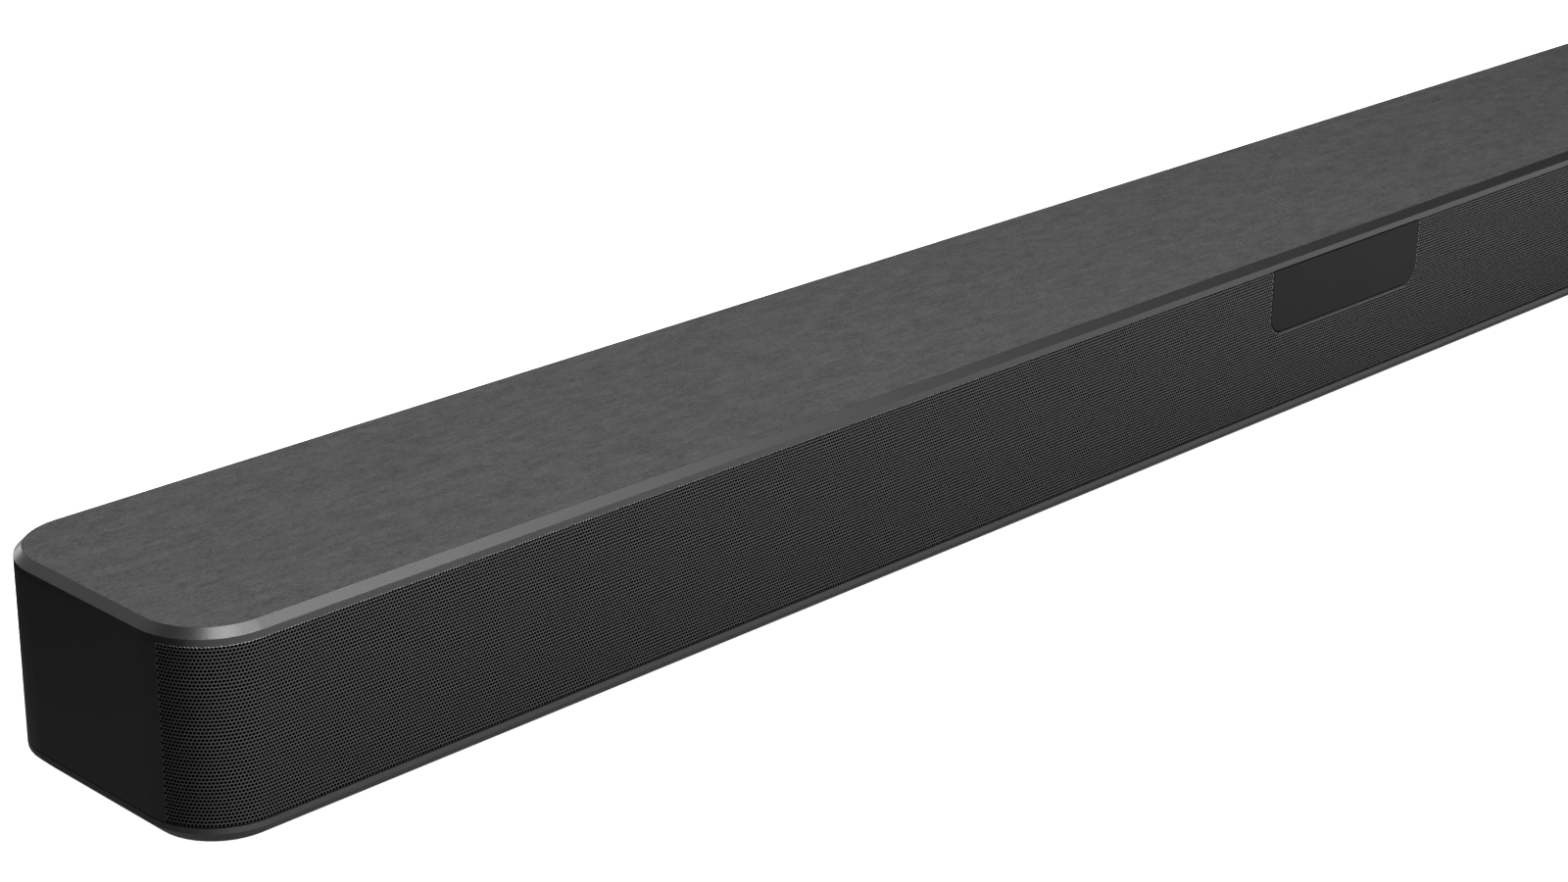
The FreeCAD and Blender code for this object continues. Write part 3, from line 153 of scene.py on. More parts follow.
class Graph:
    """The node tree of one material with a Principled shader."""

    def __init__(self, name: str) -> None:
        """Makes an empty material of that name."""
        self.material = bpy.data.materials.new(name)
        self.material.use_nodes = True
        self.tree = self.material.node_tree
        self.shader = next(n for n in self.tree.nodes if n.type == "BSDF_PRINCIPLED")

    def connect(self, socket: bpy.types.NodeSocket, source: Input) -> None:
        """Sets a socket to a number or colour, or links a value to it.

        Args:
            socket: The input to fill.
            source: The value, number or colour.
        """
        if isinstance(source, Value):
            self.tree.links.new(source.socket, socket)
        elif socket.type == "RGBA":
            socket.default_value = (*source, 1.0)
        else:
            socket.default_value = source

    def node(
        self,
        kind: str,
        settings: dict[str, Any],
        inputs: dict[Union[str, int], Input],
        output: Union[str, int] = 0,
    ) -> Value:
        """Adds a node, sets it and fills its inputs.

        Args:
            kind: The node's type.
            settings: The node's own settings, which are set first.
            inputs: What goes into each socket, by its name or place.
            output: The output that is wanted.

        Returns:
            That output.
        """
        added = self.tree.nodes.new(kind)
        for key, setting in settings.items():
            setattr(added, key, setting)
        for key, source in inputs.items():
            self.connect(added.inputs[key], source)
        return Value(self, added.outputs[output])

    def place(self) -> Value:
        """The point of the surface in the bar's frame, in metres."""
        return self.node("ShaderNodeTexCoord", {}, {}, "Object")

    def along(self, point: Value, axis: Axis) -> Value:
        """One coordinate of a point."""
        return self.node("ShaderNodeSeparateXYZ", {}, {0: point}, axis.value)

    def stretched(self, point: Value, sizes: Sizes) -> Value:
        """A point divided by one or three sizes, so that a texture's features get those sizes."""
        three = (sizes,) * 3 if isinstance(sizes, float) else tuple(sizes)
        return self.node("ShaderNodeVectorMath", {"operation": "DIVIDE"}, {0: point, 1: three})

    def noise(
        self, point: Value, sizes: Sizes, detail: float = 2.0, roughness: float = 0.5
    ) -> Value:
        """Soft random patches.

        Args:
            point: Where the noise is read.
            sizes: The size of a patch, or its sizes along the axes, in metres.
            detail: How many finer layers are added.
            roughness: How strong the finer layers are.

        Returns:
            A value about one half.
        """
        ends = {"Vector": self.stretched(point, sizes), "Scale": 1.0}
        ends.update({"Detail": detail, "Roughness": roughness})
        return self.node("ShaderNodeTexNoise", {"noise_dimensions": "3D"}, ends, "Fac")

    def cells(self, point: Value, size: float) -> Value:
        """The distance to the nearest of some scattered points.

        Args:
            point: Where the cells are read.
            size: The spacing of the points, in metres.

        Returns:
            The distance, in spacings.
        """
        ends = {"Vector": self.stretched(point, size), "Scale": 1.0}
        return self.node("ShaderNodeTexVoronoi", {"feature": "F1"}, ends, "Distance")

    def tint(self, share: Input, first: Paint, second: Paint) -> Value:
        """Mixes two colours.

        Args:
            share: How much of the second colour shows.
            first: The colour at zero.
            second: The colour at one.

        Returns:
            The mixed colour.
        """
        mix = {"data_type": "RGBA", "clamp_factor": True}
        return self.node("ShaderNodeMix", mix, {0: share, 6: first, 7: second}, 2)

    def shades(self, share: Input, colour: Colour, darker: float, lighter: float) -> Value:
        """A colour that runs from darker to lighter.

        Args:
            share: How far towards the lighter shade.
            colour: The middle colour.
            darker: How much darker the first shade is, as a share.
            lighter: How much lighter the second shade is, as a share.

        Returns:
            The mixed colour.
        """
        return self.tint(share, shade(colour, -darker), shade(colour, lighter))

    def surface(
        self,
        colour: Paint,
        roughness: Input,
        relief: Optional[Value] = None,
        relief_height: float = 0.0,
        metallic: float = 0.0,
        **steady: Input,
    ) -> None:
        """Fills the shader.

        Args:
            colour: The base colour.
            roughness: The roughness.
            relief: A height between zero and one.
            relief_height: What a height of one stands for, in metres.
            metallic: The metallic value.
            steady: Further sockets with one value all over, with _ for each space.
        """
        self.connect(self.shader.inputs["Base Color"], colour)
        self.connect(self.shader.inputs["Roughness"], roughness)
        self.connect(self.shader.inputs["Metallic"], metallic)
        for key, value in steady.items():
            self.connect(self.shader.inputs[key.replace("_", " ")], value)
        if relief is not None:
            ends = {"Height": relief, "Strength": 1.0, "Distance": relief_height}
            bump = self.node("ShaderNodeBump", {}, ends, "Normal")
            self.connect(self.shader.inputs["Normal"], bump)


def shade(colour: Colour, share: float) -> Colour:
    """A colour made lighter or darker by a share of itself."""
    return tuple(max(0.0, c * (1.0 + share)) for c in colour)


# ---------------------------------------------------------------------------------------------
# Finishes


@dataclass(frozen=True)
class Finish:
    """A named finish that makes its material once."""

    name: str

    def paint(self, graph: Graph) -> None:
        """Fills the graph with the finish's nodes."""
        raise NotImplementedError

    def material(self) -> bpy.types.Material:
        """The finish's material, made at its first use."""
        known = bpy.data.materials.get(self.name + "_finish")
        if known is not None:
            return known
        graph = Graph(self.name + "_finish")
        self.paint(graph)
        return graph.material


@dataclass(frozen=True)
class Moulding(Finish):
    """Moulded plastic or rubber with a fine spark-eroded grain."""

    colour: Colour
    roughness: float = 0.45
    specular: float = 0.5
    grain: float = 0.35 * MM
    grain_height: float = 0.008 * MM
    cloud: float = 0.08
    cloud_size: float = 38.0 * MM
    scuff_size: tuple[float, float, float] = (60 * MM, 3 * MM, 4 * MM)

    def paint(self, graph: Graph) -> None:
        """A grain in the relief and the gloss, over a slow change of tone and some faint scuffs."""
        point = graph.place()
        grain = graph.noise(point, self.grain, 2.0, 0.6)
        cloud = graph.noise(point, self.cloud_size, 3.0)
        scuff = graph.noise(point, self.scuff_size, 3.0, 0.6).ease(0.62, 0.8)
        colour = graph.shades(cloud + grain.swing(0.6), self.colour, self.cloud, self.cloud)
        rough = cloud.swing(0.08) + grain.swing(0.1) + scuff * 0.04 + self.roughness
        graph.surface(colour, rough, grain, self.grain_height, Specular_IOR_Level=self.specular)


@dataclass(frozen=True)
class TextileSheet(Finish):
    """A sheet with a fine canvas weave: short crossed threads, creases, slubs and a mottling."""

    colour: Colour
    thread: float = 0.3 * MM
    run: float = 0.9 * MM
    waver: float = 2.2 * MM
    waver_size: float = 6.0 * MM
    crease_size: tuple[float, float, float] = (2.0 * MM, 1.1 * MM, 1.5 * MM)
    mottle_size: tuple[float, float, float] = (7 * MM, 3.5 * MM, 5 * MM)
    streak_size: tuple[float, float, float] = (40 * MM, 1.6 * MM, 3 * MM)
    slub_size: tuple[float, float, float] = (8 * MM, 0.7 * MM, 3 * MM)
    relief_height: float = 0.06 * MM
    contrast: float = 0.6
    roughness: float = 0.75
    specular: float = 0.3

    def paint(self, graph: Graph) -> None:
        """Threads along and across the bar, with some thicker and lighter than the rest."""
        point = graph.place()
        t, r = self.thread, self.run
        bend = graph.noise(point, self.waver_size, 2.0).swing(self.waver)
        x, y = graph.along(point, Axis.X), graph.along(point, Axis.Y)
        bent = graph.node("ShaderNodeCombineXYZ", {}, {0: x + bend, 1: y + bend, 2: bend})
        weft = graph.noise(bent, (r, t, t), 2.0, 0.6)
        warp = graph.noise(bent, (t, r * 0.5, t), 1.0, 0.6)
        crease = graph.noise(bent, self.crease_size, 2.0, 0.6)
        mottle = graph.noise(point, self.mottle_size, 3.0, 0.6)
        streak = graph.noise(point, self.streak_size, 2.0, 0.55)
        slub = graph.noise(point, self.slub_size, 1.0).ease(0.68, 0.78)
        weave = weft * 0.65 + warp * 0.35
        tone = weave.swing(2.4) + crease.swing(0.6) + mottle.swing(0.8) + streak.swing(0.4)
        colour = graph.shades(tone + slub * 0.3 + 0.5, self.colour, self.contrast, self.contrast)
        rough, relief = weave.swing(0.2) + self.roughness, weave * 0.7 + crease * 0.3
        graph.surface(colour, rough, relief, self.relief_height, Specular_IOR_Level=self.specular)


@dataclass(frozen=True)
class WovenCloth(Finish):
    """Plain woven cloth: threads that pass over and under each other."""

    colour: Colour
    pitch: float = 0.4 * MM
    ridge_height: float = 0.06 * MM
    contrast: float = 0.4
    roughness: float = 0.9

    def paint(self, graph: Graph) -> None:
        """Crossing ridges with a little fuzz."""
        point = graph.place()
        x, z = graph.along(point, Axis.X), graph.along(point, Axis.Z)
        across = (x * (math.pi / self.pitch)).sine().size()
        up = (z * (math.pi / self.pitch)).sine().size()
        fuzz = graph.noise(point, self.pitch, 3.0, 0.7)
        ridge = across.larger(up) * 0.7 + fuzz * 0.3
        colour = graph.shades(ridge, self.colour, self.contrast, self.contrast)
        rough = fuzz.swing(0.1) + self.roughness
        graph.surface(colour, rough, ridge, self.ridge_height, Specular_IOR_Level=0.2)


@dataclass(frozen=True)
class PowderCoat(Finish):
    """Steel with a satin powder coat."""

    colour: Colour
    roughness: float = 0.42
    specular: float = 0.5
    peel_size: float = 0.5 * MM
    peel_height: float = 0.006 * MM
    fine_size: float = 0.12 * MM
    cloud_size: float = 30.0 * MM
    contrast: float = 0.12

    def paint(self, graph: Graph) -> None:
        """Orange peel in the relief, and a slow change of tone."""
        point = graph.place()
        peel = graph.noise(point, self.peel_size, 2.0)
        fine = graph.noise(point, self.fine_size, 1.0)
        cloud = graph.noise(point, self.cloud_size, 2.0)
        colour = graph.shades(cloud * 0.6 + fine * 0.4, self.colour, self.contrast, self.contrast)
        rough = fine.swing(0.12) + cloud.swing(0.05) + self.roughness
        relief = peel * 0.7 + fine * 0.3
        graph.surface(colour, rough, relief, self.peel_height, Specular_IOR_Level=self.specular)


@dataclass(frozen=True)
class SmokedWindow(Finish):
    """A dark, nearly even window."""

    colour: Colour
    roughness: float = 0.28
    specular: float = 0.25
    haze_size: float = 24.0 * MM
    dust_size: float = 0.3 * MM
    dust_height: float = 0.0008 * MM
    contrast: float = 0.05

    def paint(self, graph: Graph) -> None:
        """A very slow haze in the colour and the gloss."""
        point = graph.place()
        haze = graph.noise(point, self.haze_size, 3.0)
        dust = graph.noise(point, self.dust_size, 1.0)
        colour = graph.shades(haze, self.colour, self.contrast, self.contrast)
        rough = haze.swing(0.06) + dust.swing(0.03) + self.roughness
        graph.surface(colour, rough, dust, self.dust_height, Specular_IOR_Level=self.specular)


@dataclass(frozen=True)
class Metal(Finish):
    """Bare metal with a grain that runs along one axis."""

    colour: Colour
    roughness: float = 0.35
    run: Axis = Axis.X
    grain: float = 0.15 * MM
    drawn: float = 30.0
    line_height: float = 0.004 * MM
    blotch_size: float = 6.0 * MM
    tarnish: float = 0.16
    shine: float = 0.06

    def paint(self, graph: Graph) -> None:
        """Fine drawn lines, blotches in the gloss and a little tarnish."""
        point = graph.place()
        sizes = [self.grain] * 3
        sizes[self.run.value] = self.grain * self.drawn
        lines = graph.noise(point, sizes, 3.0, 0.6)
        blotch = graph.noise(point, self.blotch_size, 3.0)
        colour = graph.shades(blotch, self.colour, self.tarnish, self.shine)
        rough = lines.swing(0.2) + blotch.swing(0.14) + self.roughness
        graph.surface(colour, rough, lines, self.line_height, metallic=1.0)


@dataclass(frozen=True)
class CircuitBoard(Finish):
    """A lacquered board with tracks under the lacquer and plated holes."""

    colour: Colour
    track: Colour
    pad: Colour = (0.62, 0.5, 0.28)
    roughness: float = 0.34
    lane_pitch: float = 1.3 * MM
    waver: float = 9.0 * MM
    waver_size: tuple[float, float, float] = (14 * MM, 90 * MM, 9 * MM)
    break_size: tuple[float, float, float] = (22 * MM, 5 * MM, 8 * MM)
    hole_spacing: float = 4.2 * MM
    hole_share: float = 0.11
    cloud_size: float = 20.0 * MM
    relief_height: float = 0.03 * MM

    def paint(self, graph: Graph) -> None:
        """Tracks in lanes that break off, and holes on scattered points."""
        point = graph.place()
        waver = graph.noise(point, self.waver_size, 0.0).swing(self.waver)
        lane = graph.along(point, Axis.Y) + waver
        stripe = (lane * (math.tau / self.lane_pitch)).sine().above(0.25)
        tracks = stripe * graph.noise(point, self.break_size, 1.0).above(0.5)
        holes = 1.0 - graph.cells(point, self.hole_spacing).above(self.hole_share)
        cloud = graph.noise(point, self.cloud_size, 2.0)
        lacquer = graph.tint(tracks * 0.8 + cloud * 0.2, self.colour, self.track)
        relief = (tracks * 0.5).larger(holes)
        rough = cloud.swing(0.1) + self.roughness
        graph.surface(graph.tint(holes, lacquer, self.pad), rough, relief, self.relief_height)


@dataclass(frozen=True)
class Fibre(Finish):
    """Pressed paper, silk, foam or cloth without a weave: tangled fibres or open cells."""

    colour: Colour
    fibre: float = 0.5 * MM
    depth: float = 0.04 * MM
    roughness: float = 0.85
    cloud_size: float = 14.0 * MM
    contrast: float = 0.35

    def paint(self, graph: Graph) -> None:
        """Two layers of fibres over a slow change of tone."""
        point = graph.place()
        first = graph.noise(point, (self.fibre * 3, self.fibre, self.fibre * 0.6), 3.0, 0.7)
        second = graph.cells(point, self.fibre * 1.4)
        cloud = graph.noise(point, self.cloud_size, 2.0)
        tangle = first * 0.6 + second * 0.4
        colour = graph.shades(tangle * 0.7 + cloud * 0.3, self.colour, self.contrast, self.contrast)
        rough = tangle.swing(0.1) + self.roughness
        graph.surface(colour, rough, tangle, self.depth, Specular_IOR_Level=0.3)


@dataclass(frozen=True)
class FlatCable(Finish):
    """A flat cable with its conductors showing through the film."""

    colour: Colour = (0.75, 0.75, 0.72)
    conductor: Colour = (0.42, 0.42, 0.42)
    across: Axis = Axis.X
    pitch: float = 1.0 * MM
    roughness: float = 0.35
    cloud_size: float = 9.0 * MM
    relief_height: float = 0.02 * MM

    def paint(self, graph: Graph) -> None:
        """Stripes across the cable under a smooth film."""
        point = graph.place()
        turn = graph.along(point, self.across) * (math.tau / self.pitch)
        stripe = turn.sine().ease(-0.1, 0.3)
        cloud = graph.noise(point, self.cloud_size, 2.0)
        colour = graph.tint(stripe * 0.8 + cloud * 0.2, self.colour, self.conductor)
        graph.surface(colour, cloud.swing(0.1) + self.roughness, stripe, self.relief_height)


FINISHES: dict[str, Finish] = {
    finish.name: finish
    for finish in (
        Moulding("cover_plastic", (0.0185, 0.0185, 0.0188), roughness=0.46, specular=0.4),
        Moulding(
            "trim_plastic", (0.0145, 0.0145, 0.0148), roughness=0.36, grain_height=0.0008 * MM
        ),
        Moulding("base_plastic", (0.03, 0.03, 0.0305), roughness=0.3, grain_height=0.002 * MM),
        TextileSheet("textile_sheet", (0.0415, 0.0415, 0.0418)),
        PowderCoat("grille_steel", (0.043, 0.043, 0.0434), specular=0.46),
        # The hole walls wear a near-black coat that barely reflects. This is painted shade inside
        # the grille's holes; the real walls carry the face's coat.
        PowderCoat("hole_wall_painted_shade", (0.002, 0.002, 0.002), roughness=0.9, specular=0.02),
        Metal("cut_edge", (0.17, 0.17, 0.17), roughness=0.45, grain=0.1 * MM),
        WovenCloth("black_cloth", (0.003, 0.003, 0.003)),
        Moulding("frame_plastic", (0.012, 0.012, 0.012), roughness=0.55),
        SmokedWindow("smoked_window", (0.0048, 0.0048, 0.005), specular=0.06),
        Moulding("foot_rubber", (0.02, 0.02, 0.02), roughness=0.75, specular=0.3, grain=0.6 * MM),
        Metal("brass", (0.72, 0.5, 0.22), roughness=0.3, run=Axis.Z),
        Metal("screw_steel", (0.2, 0.2, 0.21), roughness=0.38),
        Moulding("box_plastic", (0.025, 0.025, 0.026), roughness=0.5, grain=0.5 * MM),
        CircuitBoard("circuit_board", (0.008, 0.05, 0.03), (0.02, 0.1, 0.055)),
        Moulding("component", (0.03, 0.03, 0.034), roughness=0.4, grain=0.25 * MM, cloud=0.2),
        Metal("heatsink_aluminium", (0.75, 0.76, 0.78), roughness=0.36, run=Axis.Y),
        Metal("shield_steel", (0.62, 0.62, 0.6), roughness=0.3),
        Moulding("socket_plastic", (0.012, 0.012, 0.0125), roughness=0.35, grain=0.3 * MM),
        Fibre("foam", (0.02, 0.02, 0.02), fibre=0.5 * MM, depth=0.12 * MM),
        Moulding("display_block", (0.05, 0.05, 0.052), roughness=0.3, grain=0.4 * MM),
        FlatCable("flat_cable"),
        FlatCable("flat_cable_along", across=Axis.Y),
        Moulding("lead_jacket", (0.03, 0.03, 0.032), roughness=0.4, grain=0.5 * MM),
        Moulding("button_plastic", (0.03, 0.03, 0.0305), roughness=0.38, grain=0.25 * MM),
        Moulding("switch_body", (0.04, 0.04, 0.042), roughness=0.4, grain=0.3 * MM),
        Metal("basket_steel", (0.13, 0.13, 0.135), roughness=0.45),
        Fibre("cone_paper", (0.03, 0.03, 0.031), fibre=0.7 * MM, depth=0.05 * MM),
        Moulding("surround_rubber", (0.015, 0.015, 0.015), roughness=0.55, grain=0.6 * MM),
        WovenCloth("spider_cloth", (0.5, 0.32, 0.09), pitch=0.7 * MM, roughness=0.8),
        Metal("yoke_steel", (0.5, 0.5, 0.52), roughness=0.32, run=Axis.Y),
        Moulding(
            "magnet", (0.05, 0.05, 0.055), roughness=0.5, grain=0.6 * MM, grain_height=0.03 * MM
        ),
        Metal("coil_aluminium", (0.75, 0.5, 0.32), roughness=0.3, grain=0.12 * MM),
        Fibre("dome_silk", (0.02, 0.02, 0.02), fibre=0.3 * MM, depth=0.02 * MM, roughness=0.6),
        Moulding("mark_ink", (0.42, 0.42, 0.43), roughness=0.5, grain=0.15 * MM),
        Metal("contact_gold", (0.95, 0.7, 0.3), roughness=0.22, run=Axis.Y, grain=0.08 * MM),
        Metal("plate_foil", (0.22, 0.22, 0.225), roughness=0.45, grain=0.1 * MM),
    )
}


# ---------------------------------------------------------------------------------------------
# Mesh building


class Shape:
    """Points and faces that grow piece by piece and become one object."""

    def __init__(self) -> None:
        """Starts with nothing."""
        self.points: list[Vector] = []
        self.faces: list[tuple[int, ...]] = []

    def sweep(
        self, rings: Sequence[Sequence[Vector]], capped: bool = True, closed: bool = False
    ) -> "Shape":
        """Joins rings of as many points each with side faces.

        Args:
            rings: The rings, in order.
            capped: Whether the first and the last ring are filled.
            closed: Whether the last ring also joins the first.

        Returns:
            The shape itself.
        """
        start, count = len(self.points), len(rings[0])
        for ring in rings:
            self.points.extend(ring)
        pairs = list(range(len(rings) - 1)) + ([len(rings) - 1] if closed else [])
        for i in pairs:
            a, b = start + i * count, start + ((i + 1) % len(rings)) * count
            for k in range(count):
                n = (k + 1) % count
                self.faces.append((a + k, a + n, b + n, b + k))
        if capped and not closed:
            self.faces.append(tuple(reversed(range(start, start + count))))
            last = start + (len(rings) - 1) * count
            self.faces.append(tuple(range(last, last + count)))
        return self

    def slab(self, low: Vector, high: Vector, soft: float = 0.0) -> "Shape":
        """Adds a block with its upper and lower edges broken.

        Args:
            low: The lowest corner.
            high: The highest corner.
            soft: How much is taken off the edges.

        Returns:
            The shape itself.
        """
        sharp = ((low.z, 0.0), (high.z, 0.0))
        broken = ((low.z, soft), (low.z + soft, 0.0), (high.z - soft, 0.0), (high.z, soft))
        rings = []
        for z, cut in broken if soft else sharp:
            x0, x1, y0, y1 = low.x + cut, high.x - cut, low.y + cut, high.y - cut
            rings.append([Vector((x, y, z)) for x, y in ((x0, y0), (x1, y0), (x1, y1), (x0, y1))])
        return self.sweep(rings)

    def piece(
        self, name: str, finish: str, slot: str, body: str = "casing", smooth: bool = False
    ) -> bpy.types.Object:
        """Makes the object, dresses it and hangs it on a body.

        Args:
            name: The object's name.
            finish: The finish it wears.
            slot: The record's slot for the piece; not used.
            body: The body it rides on.
            smooth: Whether its faces are shaded smooth.

        Returns:
            The new object.
        """
        mesh = bpy.data.meshes.new(name)
        mesh.from_pydata(self.points, [], self.faces)
        mesh.validate()
        if smooth:
            mesh.shade_smooth()
        return settle(mesh, name, finish, body)


def settle(mesh: bpy.types.Mesh, name: str, finish: str, body: str) -> bpy.types.Object:
    """Turns a mesh into a dressed object that rides on a body.

    Args:
        mesh: The mesh.
        name: The object's name.
        finish: The finish it wears.
        body: The body it rides on.

    Returns:
        The new object.
    """
    made = bpy.data.objects.new(name, mesh)
    bpy.context.scene.collection.objects.link(made)
    mesh.materials.append(FINISHES[finish].material())
    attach(made, body)
    LOG.info("made %s: %d faces on %s", name, len(mesh.polygons), body)
    return made


def circle(
    centre: Vector, radius: float, across: Vector, up: Vector, count: int = 32
) -> list[Vector]:
    """Points round a circle.

    Args:
        centre: The circle's centre.
        radius: The circle's radius.
        across: The direction of the first point.
        up: The direction a quarter turn on.
        count: How many points.

    Returns:
        The points in order.
    """
    turns = [math.tau * k / count for k in range(count)]
    return [centre + across * (radius * math.cos(a)) + up * (radius * math.sin(a)) for a in turns]


X, Y, Z = Vector((1, 0, 0)), Vector((0, 1, 0)), Vector((0, 0, 1))


# ---------------------------------------------------------------------------------------------
# Sub-assemblies


class SheetFinish(Enum):
    """The grille's finishes, in the order of its material places: face, hole walls (near-black,
    painted shade), upper edge.
    """

    FACE = "grille_steel"
    WALL = "hole_wall_painted_shade"
    EDGE = "cut_edge"

    @property
    def place(self) -> int:
        """The finish's place among the sheet's materials."""
        return list(SheetFinish).index(self)


@dataclass
class Grille:
    """The perforated steel sheet across the front and round both front corners."""

    corner_radius: float = 20.0 * MM
    thickness: float = 0.7 * MM
    rows: int = 50
    hole_pitch: float = 0.914 * MM
    hole_radius: float = 0.42 * MM
    least_radius: float = 0.12 * MM
    least_land: float = 0.03 * MM
    hole_sides: int = 8
    hem: float = 0.16 * MM
    hem_over_hole: float = 0.3
    hem_reach: float = 1.5
    window_gap: float = 0.3 * MM
    window_radius: float = 5.5 * MM
    panels: int = 10
    tolerance: float = 1e-7
    least_length: float = 1e-9

    def __post_init__(self) -> None:
        """Takes the sheet's size and place from the grille, the cover and the window."""
        low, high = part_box("front_grille")
        self.z0, self.z1 = low.z, high.z
        self.front = low.y
        self.flat_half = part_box("top_cover")[1].x - self.corner_radius
        turn = math.asin((high.y - (low.y + self.corner_radius)) / self.corner_radius)
        self.arc = self.corner_radius * (math.pi / 2 + turn)
        self.run = 2 * (self.flat_half + self.arc)
        self.columns = round(self.run / self.hole_pitch)
        self.pitch = self.run / self.columns
        self.rise = (self.z1 - self.z0) / self.rows
        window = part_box("display_window")
        self.window_half = window[1].x + self.window_gap
        self.window_low = window[0].z - self.window_gap

    def wrap(self, u: np.ndarray, z: np.ndarray, depth: np.ndarray) -> np.ndarray:
        """Bends the flat sheet round the corners.

        Args:
            u: Distances along the sheet from its middle.
            z: Heights.
            depth: Depths behind the sheet's face.

        Returns:
            The points, one in each row.
        """
        over = np.clip(np.abs(u) - self.flat_half, 0.0, None)
        angle = over / self.corner_radius
        radius = self.corner_radius - depth
        side = np.sign(u)
        x = side * (np.minimum(np.abs(u), self.flat_half) + radius * np.sin(angle))
        y = self.front + self.corner_radius - radius * np.cos(angle)
        return np.stack([x, y, z], axis=1)

    def window_pull(
        self, u: np.ndarray, z: np.ndarray
    ) -> tuple[np.ndarray, np.ndarray, np.ndarray]:
        """Measures points against the outline of the window's hole.

        Args:
            u: Distances along the sheet from its middle.
            z: Heights.

        Returns:
            The distance outside the outline, and the nearest point's u and z.
        """
        r = self.window_radius + self.window_gap
        side = np.where(u < 0, -1.0, 1.0)
        a = np.abs(u) - (self.window_half - r)
        b = (self.window_low + r) - z
        corner = (a > 0) & (b > 0)
        length = np.maximum(np.hypot(a, b), self.least_length)
        beside = a > b
        distance = np.where(corner, length - r, np.where(beside, a - r, b - r))
        near_u = np.where(corner, a / length * r, np.where(beside, r, a)) + (self.window_half - r)
        near_z = (self.window_low + r) - np.where(corner, b / length * r, np.where(beside, b, r))
        return distance, side * near_u, near_z

    def lattice(self) -> tuple[np.ndarray, np.ndarray, np.ndarray, np.ndarray]:
        """Lays out the sheet's cells as staggered bricks.

        Returns:
            The corner points' u and z, the eight corner points of each cell and the cells' centres.
        """
        n, rows, half = self.columns, self.rows, self.pitch / 2
        lines = 2 * n + 1
        u = [np.tile(np.arange(lines) * half, rows + 1)]
        z = [np.repeat(np.arange(rows + 1) * self.rise, lines)]
        cells, centres = [], []
        start = lines * (rows + 1)
        for j in range(rows):
            shift = j % 2
            count = n - shift
            sides = np.arange(count + 1) * 2 + shift
            u.append(sides * half)
            z.append(np.full(count + 1, (j + 0.5) * self.rise))
            left = sides[:-1]
            low, high = j * lines + left, (j + 1) * lines + left
            mid = start + np.arange(count)
            corners = [mid + 1, high + 2, high + 1, high, mid, low, low + 1, low + 2]
            cells.append(np.stack(corners, axis=1))
            height = np.full(count, (j + 0.5) * self.rise)
            centres.append(np.stack([(left + 1) * half, height], axis=1))
            start += count + 1
        u, z = np.concatenate(u) - self.run / 2, np.concatenate(z) + self.z0
        centre = np.concatenate(centres) + np.array([-self.run / 2, self.z0])
        return u, z, np.concatenate(cells), centre

    def ends(self) -> np.ndarray:
        """The corner points of the half cells that close every second row at both ends.

        Returns:
            Four corner points of each half cell.
        """
        lines = 2 * self.columns + 1
        start = lines * (self.rows + 1)
        halves = []
        for j in range(self.rows):
            count = self.columns - j % 2
            if j % 2:
                low, high, last = j * lines, (j + 1) * lines, start + count
                low_end, high_end = low + lines - 1, high + lines - 1
                halves += [
                    [low, low + 1, start, start],
                    [start, high + 1, high, high],
                    [low, start, high, high],
                    [low_end - 1, low_end, last, last],
                    [last, high_end, high_end - 1, high_end - 1],
                    [low_end, high_end, last, last],
                ]
            start += count + 1
        return np.array(halves)

    def build(self) -> list[bpy.types.Object]:
        """Makes the sheet in panels, with a tube wall in every hole and a hem above and below.

        Returns:
            The panels, from left to right.
        """
        u, z, cells, centres = self.lattice()
        inside = self.window_pull(centres[:, 0], centres[:, 1])[0] < 0
        kept, gone = cells[~inside], cells[inside]
        centres = centres[~inside]
        shared = np.intersect1d(kept.ravel(), gone.ravel())
        _, near_u, near_z = self.window_pull(u[shared], z[shared])
        u[shared], z[shared] = near_u, near_z
        apart = np.hypot(u[kept] - centres[:, :1], z[kept] - centres[:, 1:]).min(axis=1)
        radius = np.minimum(self.hole_radius, apart - self.least_land)
        radius[radius < self.least_radius] = 0.0
        hem = np.zeros_like(z)
        hem[z > self.z1 - self.tolerance] = self.hem
        hem[z < self.z0 + self.tolerance] = -self.hem
        over_hole = np.zeros(len(z), dtype=bool)
        above_and_below = kept[radius > 0][:, [2, 6]]
        over_hole[above_and_below.ravel()] = True
        hem[over_hole] *= self.hem_over_hole
        made = []
        edges = np.linspace(-self.run / 2, self.run / 2, self.panels + 1)
        for i in range(self.panels):
            chosen = (centres[:, 0] >= edges[i]) & (centres[:, 0] < edges[i + 1])
            halves = self.ends() if i in (0, self.panels - 1) else np.empty((0, 4), dtype=int)
            if len(halves):
                middle = u[halves].mean(axis=1)
                halves = halves[(middle >= edges[i]) & (middle < edges[i + 1])]
            lots = kept[chosen], centres[chosen], radius[chosen]
            made.append(self.panel(i, u, z, hem, *lots, halves))
        return made

